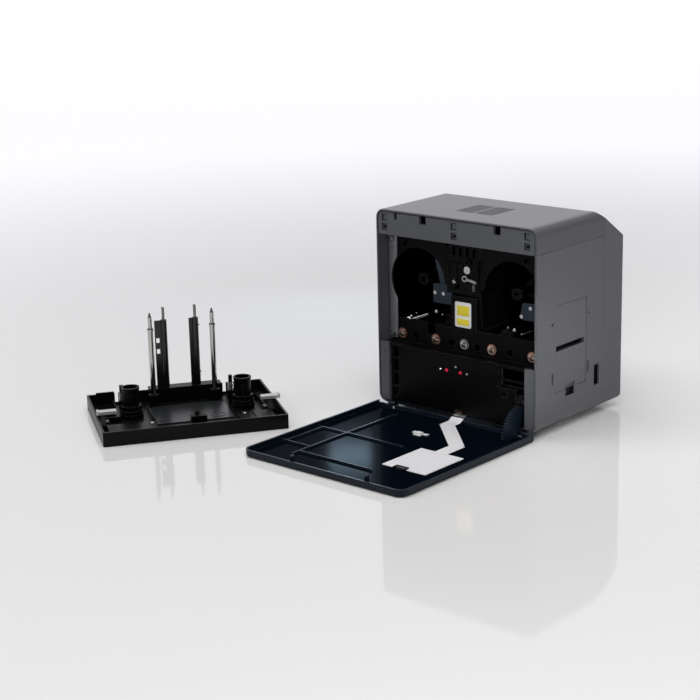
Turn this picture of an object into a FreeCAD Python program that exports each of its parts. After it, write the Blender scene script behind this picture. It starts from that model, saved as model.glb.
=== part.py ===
import FreeCAD, Part
import math
import os

# Desktop card printer with its front door lowered and its spool cassette standing beside it.
# All lengths are millimetres. The origin lies on the table, midway across the casing's front
# face. X runs to the right, Y to the back and Z up.

os.makedirs("parts", exist_ok=True)
Vec = FreeCAD.Vector

# Casing
case_width = 250.0
case_height = 264.0
case_depth = 192.0
foot_height = 8.0
corner_radius = 12.0
edge_soft = 1.2
side_soft = 8.0
plan_soft = 3.0
wall = 2.5
seam = 0.4
skirt_height = 32.0
bevel_share = 1.26
bevel_drop = 39.5
lip_thickness = 1.2
lip_reach = 3.0
front_groove = 1.2
front_sink = 0.5
front_sheet = 3.0
header_height = 32.7
post_width = 14.0
post_top = 88.7

# Fits and clearances
shaft_clearance = 0.05
part_gap = 0.4
seat_gap = 0.3
touch = 0.001
overrun = 5.0

# Card path and roller deck
card_rise = 18.1
card_thickness = 0.76
card_lane_start = 43.0
card_lane_width = 60.0
slot_height = 7.0
slot_soft = 1.5
mech_front = 20.0
deck_sheet = 2.5
deck_wall = 5.0
deck_wall_height = 30.3
roller_radius = 7.5
journal_radius = 5.0
bush_flange_radius = 7.0
bush_flange = 1.5
bush_body_radius = 6.0
pinch_radius = 6.0
small_journal = 3.0
first_roller_gap = 8.7
last_roller_gap = 12.0
roller_place_shares = (0, 0.2669, 0.4907, 0.7006, 1)
pinch_rows = (1, 3)

# Chassis behind the front opening
chassis_gap = 4.5
chassis_sheet = 1.5
chassis_drop = 8.0
frame_sheet = 2.0
bulkhead_gap = 8.0
bulkhead_sheet = 2.0
service_gap = 18.0
pan_sheet = 2.0
spool_place_share = 0.62288
spool_rise_share = 0.38686
bay_side_gap = 2.0

# Front door, lying open on the table
door_depth = 9.2
door_lift = 0.3
door_gap = 0.4
door_wall = 2.5
door_floor = 2.5
door_rib = 1.4
rib_height = 2.4
hinge_forward = 1.95
hinge_pin_radius = 2.0
door_foot_clearance = 0.25
latch_x_shares = (-0.394, 0.53)
latch_hole = 10.5
latch_drop = 13.8

# Door damper gears
gear_module = 1.25
sector_full_teeth = 52
pinion_teeth = 10
pressure_degrees = 25.0
pinion_place_degrees = 85.0
gear_width = 4.0
backlash = 0.15
sector_inset = 27.0
addendum_share = 0.8
dedendum_share = 1.05

# Spool cassette, lying on its back beside the printer
cassette_clearance = 7.5
cassette_breadth = 171.0
cassette_wall_height = 18.7
cassette_wall = 2.5
cassette_floor = 3.0
cassette_corner_x = -284.9
cassette_corner_y = -338.6
cassette_turn = 56.0
cup_height = 45.0
cup_radius = 11.8
rod_radius = 3.6
post_radius = 4.25

# Places worked out from the sizes above
half_width = case_width / 2
inner_half = half_width - wall
split_z = case_height - skirt_height
header_low = case_height - header_height
pan_top = foot_height + pan_sheet
panel_half = inner_half - front_groove
post_inner = panel_half - post_width
chassis_half = inner_half - chassis_gap
chassis_top = case_height - chassis_drop
hinge_y = -hinge_forward
hinge_z = door_lift + door_depth + door_gap - hinge_forward
door_low = hinge_z + door_foot_clearance
door_far = hinge_y - (case_height - hinge_z)
door_near = hinge_y - (door_low - hinge_z)
door_top = door_lift + door_depth
card_plane = post_top + card_rise
card_lane_end = card_lane_start + card_lane_width
slot_low = card_plane - slot_height / 2 + card_thickness / 2
roller_z = card_plane - roller_radius
pinch_z = card_plane + card_thickness + pinch_radius + part_gap / 2
deck_under = post_top - deck_sheet
deck_wall_top = post_top + deck_wall_height
deck_wall_back = mech_front + deck_wall
deck_rear_wall = card_lane_end + 2 * deck_wall
deck_end = deck_rear_wall + deck_wall
bulkhead_front = deck_end + bulkhead_gap
bulkhead_back = bulkhead_front + bulkhead_sheet
front_depth = bulkhead_back + service_gap
bevel_run = bevel_share * (case_depth - front_depth)
rear_inner = case_depth - wall
spool_spacing = 2 * spool_place_share * chassis_half
spool_bay_radius = chassis_half - spool_spacing / 2 - bay_side_gap
spool_height = deck_wall_top + spool_rise_share * (chassis_top - deck_wall_top)
latch_low = case_height - latch_drop
sector_side = half_width - sector_inset
sector_radius = gear_module * sector_full_teeth / 2
pinion_radius = gear_module * pinion_teeth / 2
gear_centres = sector_radius + pinion_radius
pinion_angle = math.radians(pinion_place_degrees)
pinion_y = hinge_y + gear_centres * math.cos(pinion_angle)
pinion_z = hinge_z + gear_centres * math.sin(pinion_angle)
addendum = addendum_share * gear_module
dedendum = dedendum_share * gear_module
cassette_length = case_width - 2 * cassette_clearance


# Shape helpers

def box(x0, x1, y0, y1, z0, z1):
    return Part.makeBox(x1 - x0, y1 - y0, z1 - z0, Vec(x0, y0, z0))


def rod_x(x0, x1, y, z, radius):
    return Part.makeCylinder(radius, x1 - x0, Vec(x0, y, z), Vec(1, 0, 0))


def rod_y(x, y0, y1, z, radius):
    return Part.makeCylinder(radius, y1 - y0, Vec(x, y0, z), Vec(0, 1, 0))


def rod_z(x, y, z0, z1, radius):
    return Part.makeCylinder(radius, z1 - z0, Vec(x, y, z0), Vec(0, 0, 1))


def corner_cut(before, corner, after, radius):
    # where a rounded corner leaves its two sides, and the middle of its arc
    to_before = (before - corner).normalize()
    to_after = (after - corner).normalize()
    half = to_before.getAngle(to_after) / 2
    reach = radius / math.tan(half)
    bisector = (to_before + to_after).normalize()
    middle = corner + bisector * (radius / math.sin(half) - radius)
    return corner + to_before * reach, middle, corner + to_after * reach


def outline_face(corners):
    # corners are (point, radius) pairs in order round the outline
    cuts = []
    count = len(corners)
    for index in range(count):
        point, radius = corners[index]
        if radius > 0:
            before = corners[index - 1][0]
            after = corners[(index + 1) % count][0]
            cuts.append(corner_cut(before, point, after, radius))
        else:
            cuts.append((point, point, point))
    edges = []
    for index in range(count):
        start, middle, end = cuts[index]
        if corners[index][1] > 0:
            edges.append(Part.Arc(start, middle, end).toShape())
        following = cuts[(index + 1) % count][0]
        if end.distanceToPoint(following) > touch:
            edges.append(Part.LineSegment(end, following).toShape())
    return Part.Face(Part.Wire(edges))


def plate_x(points, x0, x1, radii=None):
    radii = radii or [0] * len(points)
    corners = [(Vec(x0, y, z), r) for (y, z), r in zip(points, radii)]
    return outline_face(corners).extrude(Vec(x1 - x0, 0, 0))


def plate_y(points, y0, y1, radii=None):
    radii = radii or [0] * len(points)
    corners = [(Vec(x, y0, z), r) for (x, z), r in zip(points, radii)]
    return outline_face(corners).extrude(Vec(0, y1 - y0, 0))


def plate_z(points, z0, z1, radii=None):
    radii = radii or [0] * len(points)
    corners = [(Vec(x, y, z0), r) for (x, y), r in zip(points, radii)]
    return outline_face(corners).extrude(Vec(0, 0, z1 - z0))


def rectangle(u0, u1, v0, v1):
    return [(u0, v0), (u1, v0), (u1, v1), (u0, v1)]


def fuse_all(shapes):
    whole = shapes[0]
    if len(shapes) > 1:
        whole = whole.multiFuse(shapes[1:])
    return whole.removeSplitter()


def keep(name, shape):
    shape.exportStep("parts/" + name + ".step")
    print(name, len(shape.Solids), "solids", round(shape.Volume), "mm3")
    return shape


# Casing

def case_block(inset, front):
    # the casing's outer form moved inwards by inset: three rounded outlines crossed
    top = case_height - inset
    back = case_depth - inset
    low = foot_height + inset
    half = half_width - inset
    slope = math.hypot(bevel_run, bevel_drop)
    bevel_start = case_depth - bevel_run + inset * (bevel_run - slope) / bevel_drop
    bevel_end = case_height - bevel_drop + inset * (bevel_drop - slope) / bevel_run
    side_radius = side_soft - inset
    plan_radius = max(plan_soft - inset, 0)
    tube_radius = max(corner_radius - inset, edge_soft)
    side = plate_x(
        [(front, low), (back, low), (back, bevel_end), (bevel_start, top), (front, top)],
        -half, half, [0, side_radius, side_radius, side_radius, 0])
    tube = plate_y(rectangle(-half, half, low, top), front, back, [tube_radius] * 4)
    plan = plate_z(rectangle(-half, half, front, back), low, top, [0, 0, plan_radius, plan_radius])
    return side.common(tube).common(plan)


def outer_block():
    block = case_block(0, 0)
    front_edges = [e for e in block.Edges if all(abs(v.Y) < edge_soft / 10 for v in e.Vertexes)]
    return block.makeFillet(edge_soft, front_edges)


def case_shell():
    return outer_block().cut(case_block(wall, -overrun))


def inner_lip():
    # a thin band just inside the casing wall, used under the seams
    return case_block(wall, 0).cut(case_block(wall + lip_thickness, -overrun))


def fascia_band(low, high, x0, x1):
    # front sheet set in a dark groove, backed by a sheet that reaches the casing wall
    back = front_sink + front_sheet
    face = case_block(wall + front_groove, front_sink)
    face = face.common(box(x0, x1, front_sink, back, low, high))
    back_x0 = x0 if x0 > 0 else x0 - front_groove
    back_x1 = x1 if x1 < 0 else x1 + front_groove
    backing = case_block(wall, back)
    backing = backing.common(box(back_x0, back_x1, back, back + chassis_sheet, low, high))
    return face.fuse(backing)


def vent_slits(x0, x1, y0, y1, count, z0, z1):
    pitch = (x1 - x0) / count
    slit = pitch / 2
    return [box(x0 + i * pitch, x0 + i * pitch + slit, y0, y1, z0, z1) for i in range(count)]


def make_top_cover():
    vent_start = 40.9
    vent_end = 90.5
    vent_gap = 2.0
    vent_width = 28.0
    slit_count = 10
    region = box(-case_width, case_width, -overrun, front_depth - seam / 2,
                 split_z + seam / 2, case_height + overrun)
    cover = case_shell().common(region)
    low = case_height - 2 * wall
    high = case_height + overrun
    slits = vent_slits(-vent_width, -vent_gap / 2, vent_start, vent_end, slit_count, low, high)
    slits += vent_slits(vent_gap, vent_gap + vent_width, vent_start, vent_end, slit_count, low, high)
    return cover.cut(slits)


def make_header_panel():
    # the band over the opening with its recess columns, latch notches and key hole
    recess_size = 9.0
    recess_sink = 1.8
    recess_low = 5.3
    recess_pitch = 12.3
    hole_radius = 1.0
    column_inset = 14.0
    key_inset = 31.9
    key_width = 4.5
    key_height = 9.0
    back = front_sink + front_sheet
    band = fascia_band(header_low, case_height, -panel_half, panel_half)
    lip = box(-panel_half, panel_half, front_sink, mech_front / 2, header_low, header_low + front_sheet / 2)
    panel = band.fuse(lip)
    column = half_width - column_inset
    first_row = header_low + recess_low
    cuts = []
    for x in (-column, 0, column):
        for z in (first_row, first_row + recess_pitch):
            left = x - recess_size / 2
            right = x + recess_size / 2
            cuts.append(box(left, right, -overrun, front_sink + recess_sink, z, z + recess_size))
        cuts.append(rod_y(x + recess_size / 4, -overrun, back, first_row + recess_size / 2, hole_radius))
    latch_top = latch_low + latch_hole
    for share in latch_x_shares:
        x = share * half_width
        cuts.append(box(x - latch_hole / 2, x + latch_hole / 2, -overrun, mech_front, latch_low, latch_top))
    key_x = key_inset - half_width
    cuts.append(box(key_x - key_width / 2, key_x + key_width / 2, -overrun, mech_front,
                    latch_top - key_height, latch_top))
    return panel.cut(cuts).removeSplitter()


def hatch_outline():
    below_card = 54.8
    above_card = 55.0
    front_margin = 3.6
    rear_margin = 5.2
    return rectangle(card_lane_start - front_margin, card_lane_end + rear_margin,
                     card_plane - below_card, card_plane + above_card)


def finger_notch(x0, x1):
    notch_inset = 24.4
    notch_length = 20.2
    notch_drop = 10.6
    notch_height = 16.9
    outline = hatch_outline()
    start = outline[0][0] + notch_inset
    low = outline[0][1] - notch_drop
    return box(x0, x1, start, start + notch_length, low, low + notch_height)


def card_slot(x0, x1):
    slot_high = slot_low + slot_height
    outline = rectangle(card_lane_start - part_gap, card_lane_end + part_gap, slot_low, slot_high)
    return plate_x(outline, x0, x1, [slot_soft] * 4)


def side_details(x0, x1):
    # slits, pilot holes and the dark vent that lie outside the hatch
    slit_rise = 11.0
    slit_length = 14.6
    slit_width = 3.0
    slit_offset = 3.4
    pilot_drop = 21.8
    pilot_offset = 5.5
    hole_radius = 1.8
    vent_offset = 18.6
    vent_length = 11.9
    vent_drop = 10.6
    vent_height = 27.2
    outline = hatch_outline()
    start, low = outline[0]
    end, high = outline[2]
    slit_low = low + slit_rise
    slit_high = slit_low + slit_length
    cuts = [box(x0, x1, start - slit_offset - slit_width, start - slit_offset, slit_low, slit_high)]
    cuts.append(box(x0, x1, end + slit_offset, end + slit_offset + slit_width, slit_low, slit_high))
    cuts.append(rod_x(x0, x1, start - pilot_offset, high - pilot_drop, hole_radius))
    cuts.append(rod_x(x0, x1, end + pilot_offset, high - pilot_drop, hole_radius))
    vent_start = end + vent_offset
    vent_low = low - vent_drop
    cuts.append(box(x0, x1, vent_start, vent_start + vent_length, vent_low, vent_low + vent_height))
    return cuts


def side_cover(side):
    # side is -1 for the left cover and 1 for the right one
    hole_radius = 1.0
    hole_drop = 12.0
    hole_inset = 10.6
    edge = half_width - corner_radius - seam
    near = min(side * edge, side * case_width)
    far = max(side * edge, side * case_width)
    region = box(near, far, -overrun, front_depth - seam / 2, 0, split_z - seam / 2)
    cover = case_shell().common(region)
    post_start = min(side * post_inner, side * panel_half)
    post_end = max(side * post_inner, side * panel_half)
    post = fascia_band(foot_height, post_top, post_start, post_end)
    hole_x = side * (half_width - hole_inset)
    post = post.cut(rod_y(hole_x, -overrun, front_sink + front_sheet, post_top - hole_drop, hole_radius))
    lip_region = box(near, far, front_sheet * 2, front_depth - seam / 2,
                     split_z - lip_reach, split_z + lip_reach)
    lip = inner_lip().common(lip_region)
    cut_near = min(side * (inner_half - overrun), side * case_width)
    cut_far = max(side * (inner_half - overrun), side * case_width)
    return cover.multiFuse([post, lip]).cut(side_details(cut_near, cut_far))


def make_right_side_cover():
    opening_radius = 2.0
    gap = 1.5 * part_gap
    cover = side_cover(1)
    outline = hatch_outline()
    low = inner_half - overrun
    grown = rectangle(outline[0][0] - gap, outline[1][0] + gap, outline[0][1] - gap, outline[2][1] + gap)
    opening = plate_x(grown, low, case_width, [opening_radius] * 4)
    return cover.cut([opening, finger_notch(low, case_width)]).removeSplitter()


def make_left_side_cover():
    return side_cover(-1).cut(card_slot(-case_width, -inner_half + overrun)).removeSplitter()


def make_right_hatch():
    corner = 1.6
    rim = 3.0
    tongue_sheet = 1.6
    tongue_side = 2.0
    tongue_rise = 1.0
    outline = hatch_outline()
    sheet = wall - edge_soft / 4
    outer = half_width - edge_soft / 4
    inner_face = inner_half - lip_thickness
    face = plate_x(outline, half_width - sheet, outer, [corner] * 4)
    inner = rectangle(outline[0][0] - rim, outline[1][0] + rim, outline[0][1] + rim, outline[2][1] + rim)
    flange = plate_x(inner, inner_face, inner_half, [corner] * 4)
    bridge = plate_x(outline, inner_face, half_width - sheet, [corner] * 4)
    cut_start = inner_half - overrun
    hatch = face.multiFuse([flange, bridge])
    hatch = hatch.cut([card_slot(cut_start, case_width), finger_notch(cut_start, case_width)])
    notch = finger_notch(inner_face, half_width - sheet).BoundBox
    tongue_low = outline[0][1] + tongue_rise
    tongue_top = tongue_low + tongue_sheet
    tongue = box(notch.XMin, notch.XMax, notch.YMin, notch.YMax, tongue_top, notch.ZMax)
    lip = box(notch.XMin, half_width - edge_soft / 2, notch.YMin + tongue_side, notch.YMax - tongue_side,
              tongue_low, tongue_top)
    return hatch.multiFuse([tongue, lip]).removeSplitter()


# Rear cover with its air grille, sockets and switch

socket_row_z = 62.0
inlet_width = 27.6
inlet_height = 20.0
inlet_x = 78.0
switch_width = 13.6
switch_height = 20.4
switch_x = 48.0
switch_share = 0.86
lan_width = 16.0
lan_height = 13.6
lan_x = -52.0
usb_width = 12.0
usb_height = 10.8
usb_x = -84.0
socket_depth = 16.0
fan_x = 30.0
fan_z = (socket_row_z + case_height - bevel_drop) / 2
fan_radius = 27.0
fan_ring = 2.4
fan_pin_radius = 2.0
fan_depth = 12.0


def rear_openings():
    # one (x, width, height) row for each socket that the back wall holds
    return ((inlet_x, inlet_width, inlet_height), (switch_x, switch_width, switch_height),
            (lan_x, lan_width, lan_height), (usb_x, usb_width, usb_height))


def make_rear_cover():
    row_count = 9
    hub_recess = 1.0
    region = box(-case_width, case_width, front_depth + seam / 2, case_depth + overrun,
                 0, case_height + overrun)
    cover = case_shell().common(region)
    lip_start = front_depth - lip_reach
    lip_end = front_depth + lip_reach
    lip_region = box(-case_width, case_width, lip_start, lip_end, pan_top, split_z - lip_reach - seam)
    lip = inner_lip().common(lip_region)
    upper_region = box(-case_width, case_width, lip_start, lip_end, split_z + lip_reach + seam, case_height)
    upper_lip = inner_lip().common(upper_region)
    ring = rod_y(fan_x, rear_inner - fan_depth, rear_inner, fan_z, fan_radius + 2 * fan_ring)
    ring = ring.cut(rod_y(fan_x, 0, case_depth, fan_z, fan_radius + fan_ring))
    cover = cover.multiFuse([lip, upper_lip, ring])
    cuts = []
    for x, width, height in rear_openings():
        cuts.append(box(x - width / 2, x + width / 2, rear_inner - overrun, case_depth + overrun,
                        socket_row_z - height / 2, socket_row_z + height / 2))
    pitch = 2 * fan_radius / row_count
    for row in range(row_count):
        z = fan_z - fan_radius + pitch / 2 + row * pitch
        half = math.sqrt(fan_radius ** 2 - (z - fan_z) ** 2)
        cuts.append(box(fan_x - half, fan_x + half, rear_inner - hub_recess, case_depth + overrun,
                        z - pitch / 4, z + pitch / 4))
    cover = cover.cut(cuts)
    hub = rod_y(fan_x, rear_inner - hub_recess, case_depth - edge_soft / 2, fan_z, fan_radius / 3)
    pin = rod_y(fan_x, rear_inner - fan_depth, rear_inner, fan_z, fan_pin_radius)
    return cover.multiFuse([hub, pin]).removeSplitter()


def socket_shell(x, width, height, hole_share):
    # a socket body with its flange outside the back wall and its mouth cut into it
    flange = 1.5
    depth_share = 0.8
    body = box(x - width / 2, x + width / 2, case_depth - socket_depth, case_depth,
               socket_row_z - height / 2, socket_row_z + height / 2)
    rim = box(x - width / 2 - flange, x + width / 2 + flange, case_depth, case_depth + flange,
              socket_row_z - height / 2 - flange, socket_row_z + height / 2 + flange)
    mouth_half = hole_share * width / 2
    mouth_rise = hole_share * height / 2
    mouth = box(x - mouth_half, x + mouth_half, case_depth - depth_share * socket_depth, case_depth + overrun,
                socket_row_z - mouth_rise, socket_row_z + mouth_rise)
    return body.fuse(rim).cut(mouth).removeSplitter()


def make_rear_sockets():
    # power inlet with three blades, switch frame, network socket and computer socket
    blade = 2.0
    blade_spacing = 7.0
    blade_height = 5.0
    inlet_share = 0.82
    lan_share = 0.78
    usb_share = 0.74
    blade_start = case_depth - socket_depth + blade
    blade_end = case_depth - 1.5 * blade
    inlet = socket_shell(inlet_x, inlet_width, inlet_height, inlet_share)
    for column in (-1, 0, 1):
        z = socket_row_z + (blade if column == 0 else -blade)
        x = inlet_x + column * blade_spacing
        inlet = inlet.fuse(box(x - blade / 2, x + blade / 2, blade_start, blade_end,
                               z - blade_height / 2, z + blade_height / 2))
    switch = socket_shell(switch_x, switch_width, switch_height, switch_share)
    lan = socket_shell(lan_x, lan_width, lan_height, lan_share)
    usb = socket_shell(usb_x, usb_width, usb_height, usb_share)
    tongue_half = usb_width / 5
    usb = usb.fuse(box(usb_x - tongue_half, usb_x + tongue_half, blade_start, blade_end,
                       socket_row_z - usb_height / 6, socket_row_z + usb_height / 6))
    return Part.Compound([inlet.removeSplitter(), switch, lan, usb.removeSplitter()])


rocker_inset = 2.0
rocker_y = case_depth - rocker_inset
rocker_radius = 1.5


def make_power_rocker():
    # a rocker pressed at its upper half, on a cross pin in the switch mouth
    body_depth = 3.0
    top_rise = 1.6
    middle_rise = 2.6
    low_rise = 4.0
    mouth_half = switch_share * switch_width / 2
    half = mouth_half - part_gap
    rise = switch_share * switch_height / 2 - 2 * part_gap
    low = rocker_y - body_depth
    points = [(low, socket_row_z - rise), (low, socket_row_z + rise),
              (rocker_y + top_rise, socket_row_z + rise),
              (rocker_y + middle_rise, socket_row_z), (rocker_y + low_rise, socket_row_z - rise)]
    body = plate_x(points, switch_x - half, switch_x + half)
    pin_end = mouth_half - shaft_clearance
    return body.fuse(rod_x(switch_x - pin_end, switch_x + pin_end, rocker_y, socket_row_z, rocker_radius))


def make_fan_rotor():
    blades = 7
    blade_sheet = 1.4
    blade_pitch = 32.0
    front = rear_inner - fan_depth
    back = rear_inner - fan_depth / 4
    middle = (front + back) / 2
    parts = [rod_y(fan_x, front, back, fan_z, fan_radius / 3)]
    for index in range(blades):
        blade = box(-blade_sheet / 2, blade_sheet / 2, front + part_gap, back - part_gap,
                    fan_radius / 4, fan_radius - 2 * part_gap)
        blade.rotate(Vec(0, middle, 0), Vec(0, 0, 1), blade_pitch)
        blade.rotate(Vec(0, 0, 0), Vec(0, 1, 0), index * 360 / blades)
        blade.translate(Vec(fan_x, 0, fan_z))
        parts.append(blade)
    bore = rod_y(fan_x, 0, case_depth, fan_z, fan_pin_radius + shaft_clearance)
    return fuse_all(parts).cut(bore)


# Base pan, feet and chassis

ear_width = 4.0
ear_radius = 3.2
lug_inset = 18.7
lug_width = 5.8
left_lug_start = lug_inset - half_width
left_lug_end = left_lug_start + lug_width
cable_width = 18.5
cable_sheet = 0.4
cable_inset = 2.6
cable_tail_x0 = -cable_inset
cable_tail_x1 = cable_tail_x0 + cable_width


def hinge_ear(x0):
    # a lug of the pan that reaches forward to the hinge line
    disc = rod_x(x0, x0 + ear_width, hinge_y, hinge_z, ear_radius)
    neck = box(x0, x0 + ear_width, hinge_y, front_sink + 2 * pan_sheet, hinge_z - ear_radius, pan_top)
    return disc.fuse(neck)


def left_ear_start():
    return left_lug_end + part_gap


def right_ear_start():
    return sector_side + gear_width + part_gap


def make_base_pan():
    lip_left = 93.0
    lip_right = 62.5
    lip_rise = 1.3
    lip_forward = 0.2
    edge = half_width - corner_radius - 2 * seam
    pan = box(-edge, edge, front_sink, front_depth - seam / 2, foot_height, pan_top)
    lip_back = front_sink + pan_sheet
    lip = box(-lip_left, lip_right, front_sink - lip_forward, lip_back, foot_height, pan_top + lip_rise)
    cable_gap = box(cable_tail_x0 - part_gap, cable_tail_x1 + part_gap, -overrun, lip_back + seam,
                    pan_top - 2 * part_gap, pan_top + overrun)
    relief_end = hinge_y + sector_radius + 2 * addendum
    relief = box(sector_side - part_gap, sector_side + gear_width + part_gap, -overrun, relief_end,
                 0, pan_top + overrun)
    lug_relief = box(left_lug_start - part_gap, left_ear_start(), -overrun, hinge_y + ear_radius + part_gap,
                     0, pan_top + overrun)
    body = pan.fuse(lip).cut([cable_gap, relief, lug_relief])
    ears = [hinge_ear(left_ear_start()), hinge_ear(right_ear_start())]
    hole = rod_x(-case_width, case_width, hinge_y, hinge_z, hinge_pin_radius)
    return body.multiFuse(ears).cut(hole).removeSplitter()


def make_rubber_feet():
    # a long strip under the front edge and two round feet at the back
    strip_half = 60.0
    strip_forward = 1.4
    strip_back = 14.0
    foot_radius = 9.0
    side_inset = 41.0
    rear_inset = 22.0
    strip = plate_z(rectangle(-strip_half, strip_half, -strip_forward, strip_back), 0, foot_height,
                    [edge_soft] * 4)
    feet = [strip]
    for x in (side_inset - half_width, half_width - side_inset):
        foot = rod_z(x, case_depth - rear_inset, 0, foot_height, foot_radius)
        under = [e for e in foot.Edges if abs(e.BoundBox.ZMax) < touch]
        feet.append(foot.makeChamfer(edge_soft, under))
    return Part.Compound(feet)


def make_hinge_pins():
    left = rod_x(left_lug_start, left_ear_start() + ear_width, hinge_y, hinge_z, hinge_pin_radius)
    right = rod_x(sector_side - part_gap, right_ear_start() + ear_width, hinge_y, hinge_z, hinge_pin_radius)
    return Part.Compound([left, right])


def chassis_plate(side, flange_low):
    outer = chassis_half + chassis_sheet
    x0 = min(side * chassis_half, side * outer)
    x1 = max(side * chassis_half, side * outer)
    plate_end = front_depth - lip_reach - part_gap
    low = foot_height + corner_radius
    plate = plate_x([(mech_front, low), (plate_end, low), (plate_end, chassis_top - corner_radius),
                     (plate_end - corner_radius, chassis_top), (mech_front, chassis_top)], x0, x1)
    flange_outer = inner_half - lip_thickness - part_gap
    flange_start = min(side * (post_inner + part_gap), side * flange_outer)
    flange_end = max(side * (post_inner + part_gap), side * flange_outer)
    flange = box(flange_start, flange_end, mech_front, mech_front + chassis_sheet, flange_low, chassis_top)
    roll = rod_y(side * spool_spacing / 2, 0, mech_front + overrun, spool_height,
                 spool_bay_radius + edge_soft)
    whole = plate.fuse(flange)
    return whole.cut([roll, card_slot(x0 - overrun, x1 + overrun)]).removeSplitter()


def make_left_chassis_plate():
    return chassis_plate(-1, post_top + deck_sheet)


def make_right_chassis_plate():
    return chassis_plate(1, deck_wall_top)


def make_front_frame():
    ring_place_degrees = 65.6
    ring_gap = 3.0
    ring_radius = 5.0
    hole_radius = 3.0
    ring_rise = 1.2
    front = mech_front + chassis_sheet
    back = front + frame_sheet
    cut_back = back + overrun
    sheet = box(-chassis_half, chassis_half, front, back, deck_wall_top, chassis_top)
    cuts = []
    for side in (-1, 1):
        x = side * spool_spacing / 2
        cuts.append(rod_y(x, 0, cut_back, spool_height, spool_bay_radius))
        cuts.append(box(x - spool_bay_radius, x + spool_bay_radius, 0, cut_back, 0, spool_height))
    cuts.append(box(head_left - part_gap, head_right + part_gap, 0, cut_back, 0, head_high + part_gap))
    bay_inner = spool_spacing / 2 - spool_bay_radius + edge_soft
    cuts.append(box(-bay_inner, bay_inner, 0, cut_back, 0, spool_height))
    sheet = sheet.cut(cuts)
    ring_angle = math.radians(ring_place_degrees)
    ring_reach = spool_bay_radius + ring_radius + ring_gap
    ring_x = spool_spacing / 2 + ring_reach * math.cos(ring_angle)
    ring_z = spool_height + ring_reach * math.sin(ring_angle)
    for side in (-1, 1):
        sheet = sheet.fuse(rod_y(side * ring_x, front - ring_rise, front, ring_z, ring_radius))
        sheet = sheet.cut(rod_y(side * ring_x, 0, cut_back, ring_z, hole_radius))
    return sheet.removeSplitter()


def make_bulkhead():
    tube_radius = 12.0
    tube_reach = 60.0
    top_drop = 15.0
    foot_share = 0.75
    foot = foot_share * corner_radius
    sheet = plate_y(rectangle(-chassis_half, chassis_half, pan_top, chassis_top - top_drop),
                    bulkhead_front, bulkhead_back, [foot, foot, 0, 0])
    cuts = []
    tubes = []
    for side in (-1, 1):
        x = side * spool_spacing / 2
        tubes.append(rod_y(x, bulkhead_front - tube_reach, bulkhead_front, spool_height, tube_radius))
        cuts.append(rod_y(x, 0, bulkhead_back + overrun, spool_height, journal_radius + shaft_clearance))
    return sheet.multiFuse(tubes).cut(cuts).removeSplitter()


# Roller deck with its rollers

def roller_places():
    first = first_roller_gap - post_inner
    last = chassis_half - last_roller_gap
    return [first + share * (last - first) for share in roller_place_shares]


def make_roller_deck():
    # two slotted walls on a floor sheet, with holes for bushings, journals and guide rods
    port_radius = 5.0
    port_place_shares = (0.372, 0.531, 0.43, 0.435)
    gap_start_share = 0.738
    gap_width_share = 0.238
    step = 2 * front_sheet + seam
    floor_front = box(-post_inner + seam, post_inner - seam, front_sink, step, deck_under, post_top)
    floor_back = box(-chassis_half, chassis_half, step, deck_end, deck_under, post_top)
    front_wall = box(-post_inner, chassis_half, mech_front, deck_wall_back, post_top, deck_wall_top)
    rear_wall = box(-post_inner, chassis_half, deck_rear_wall, deck_end, post_top, deck_wall_top)
    deck = fuse_all([floor_front, floor_back, front_wall, rear_wall])
    cut_front = mech_front - overrun
    cut_back = deck_end + overrun
    places = roller_places()
    cuts = [rod_y(x, cut_front, cut_back, roller_z, bush_body_radius) for x in places]
    for row in pinch_rows:
        cuts.append(rod_y(places[row], deck_wall_back - deck_wall / 2, deck_rear_wall + deck_wall / 2,
                          pinch_z, small_journal + shaft_clearance))
    for x, z in guide_rod_places():
        cuts.append(rod_y(x, mech_front, cut_back, z, guide_rod_radius + part_gap))
    cuts.append(rod_y(heater_centre(), deck_rear_wall - overrun, cut_back, heat_roller_z(),
                      2 * small_journal + part_gap))
    for index, share in enumerate(port_place_shares):
        x = places[index] + share * (places[index + 1] - places[index])
        cuts.append(rod_y(x, cut_front, deck_wall_back + overrun, roller_z - edge_soft, port_radius))
    pitch = places[1] - places[0]
    gap_start = places[0] + gap_start_share * pitch
    cuts.append(box(gap_start, gap_start + gap_width_share * pitch, cut_front, deck_wall_back + overrun,
                    card_plane - roller_radius / 2, deck_wall_top + overrun))
    return deck.cut(cuts).removeSplitter()


def bush(x, wall_start, wall_end, flange_y):
    body = rod_y(x, wall_start, wall_end, roller_z, bush_body_radius)
    flange = rod_y(x, flange_y, flange_y + bush_flange, roller_z, bush_flange_radius)
    bore = rod_y(x, wall_start - overrun, wall_end + overrun, roller_z, journal_radius + shaft_clearance)
    return body.fuse(flange).cut(bore).removeSplitter()


def make_shaft_bushings():
    bushes = []
    for x in roller_places():
        bushes.append(bush(x, mech_front, deck_wall_back, mech_front - bush_flange))
        bushes.append(bush(x, deck_rear_wall, deck_end, deck_end))
    return Part.Compound(bushes)


def make_transport_roller(x):
    # a turned journal with a clip groove at the front, and a rubber-covered middle
    front = mech_front - 2 * bush_flange
    back = deck_end + 2 * bush_flange
    groove = 0.8
    groove_at = front + groove
    shaft = rod_y(x, front, back, roller_z, journal_radius)
    ring = rod_y(x, groove_at, groove_at + groove / 2, roller_z, journal_radius + overrun)
    ring = ring.cut(rod_y(x, groove_at, groove_at + groove / 2, roller_z, journal_radius - groove / 2))
    body = rod_y(x, card_lane_start + deck_wall / 2, card_lane_end - deck_wall / 2, roller_z, roller_radius)
    return shaft.cut(ring).fuse(body).removeSplitter()


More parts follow.
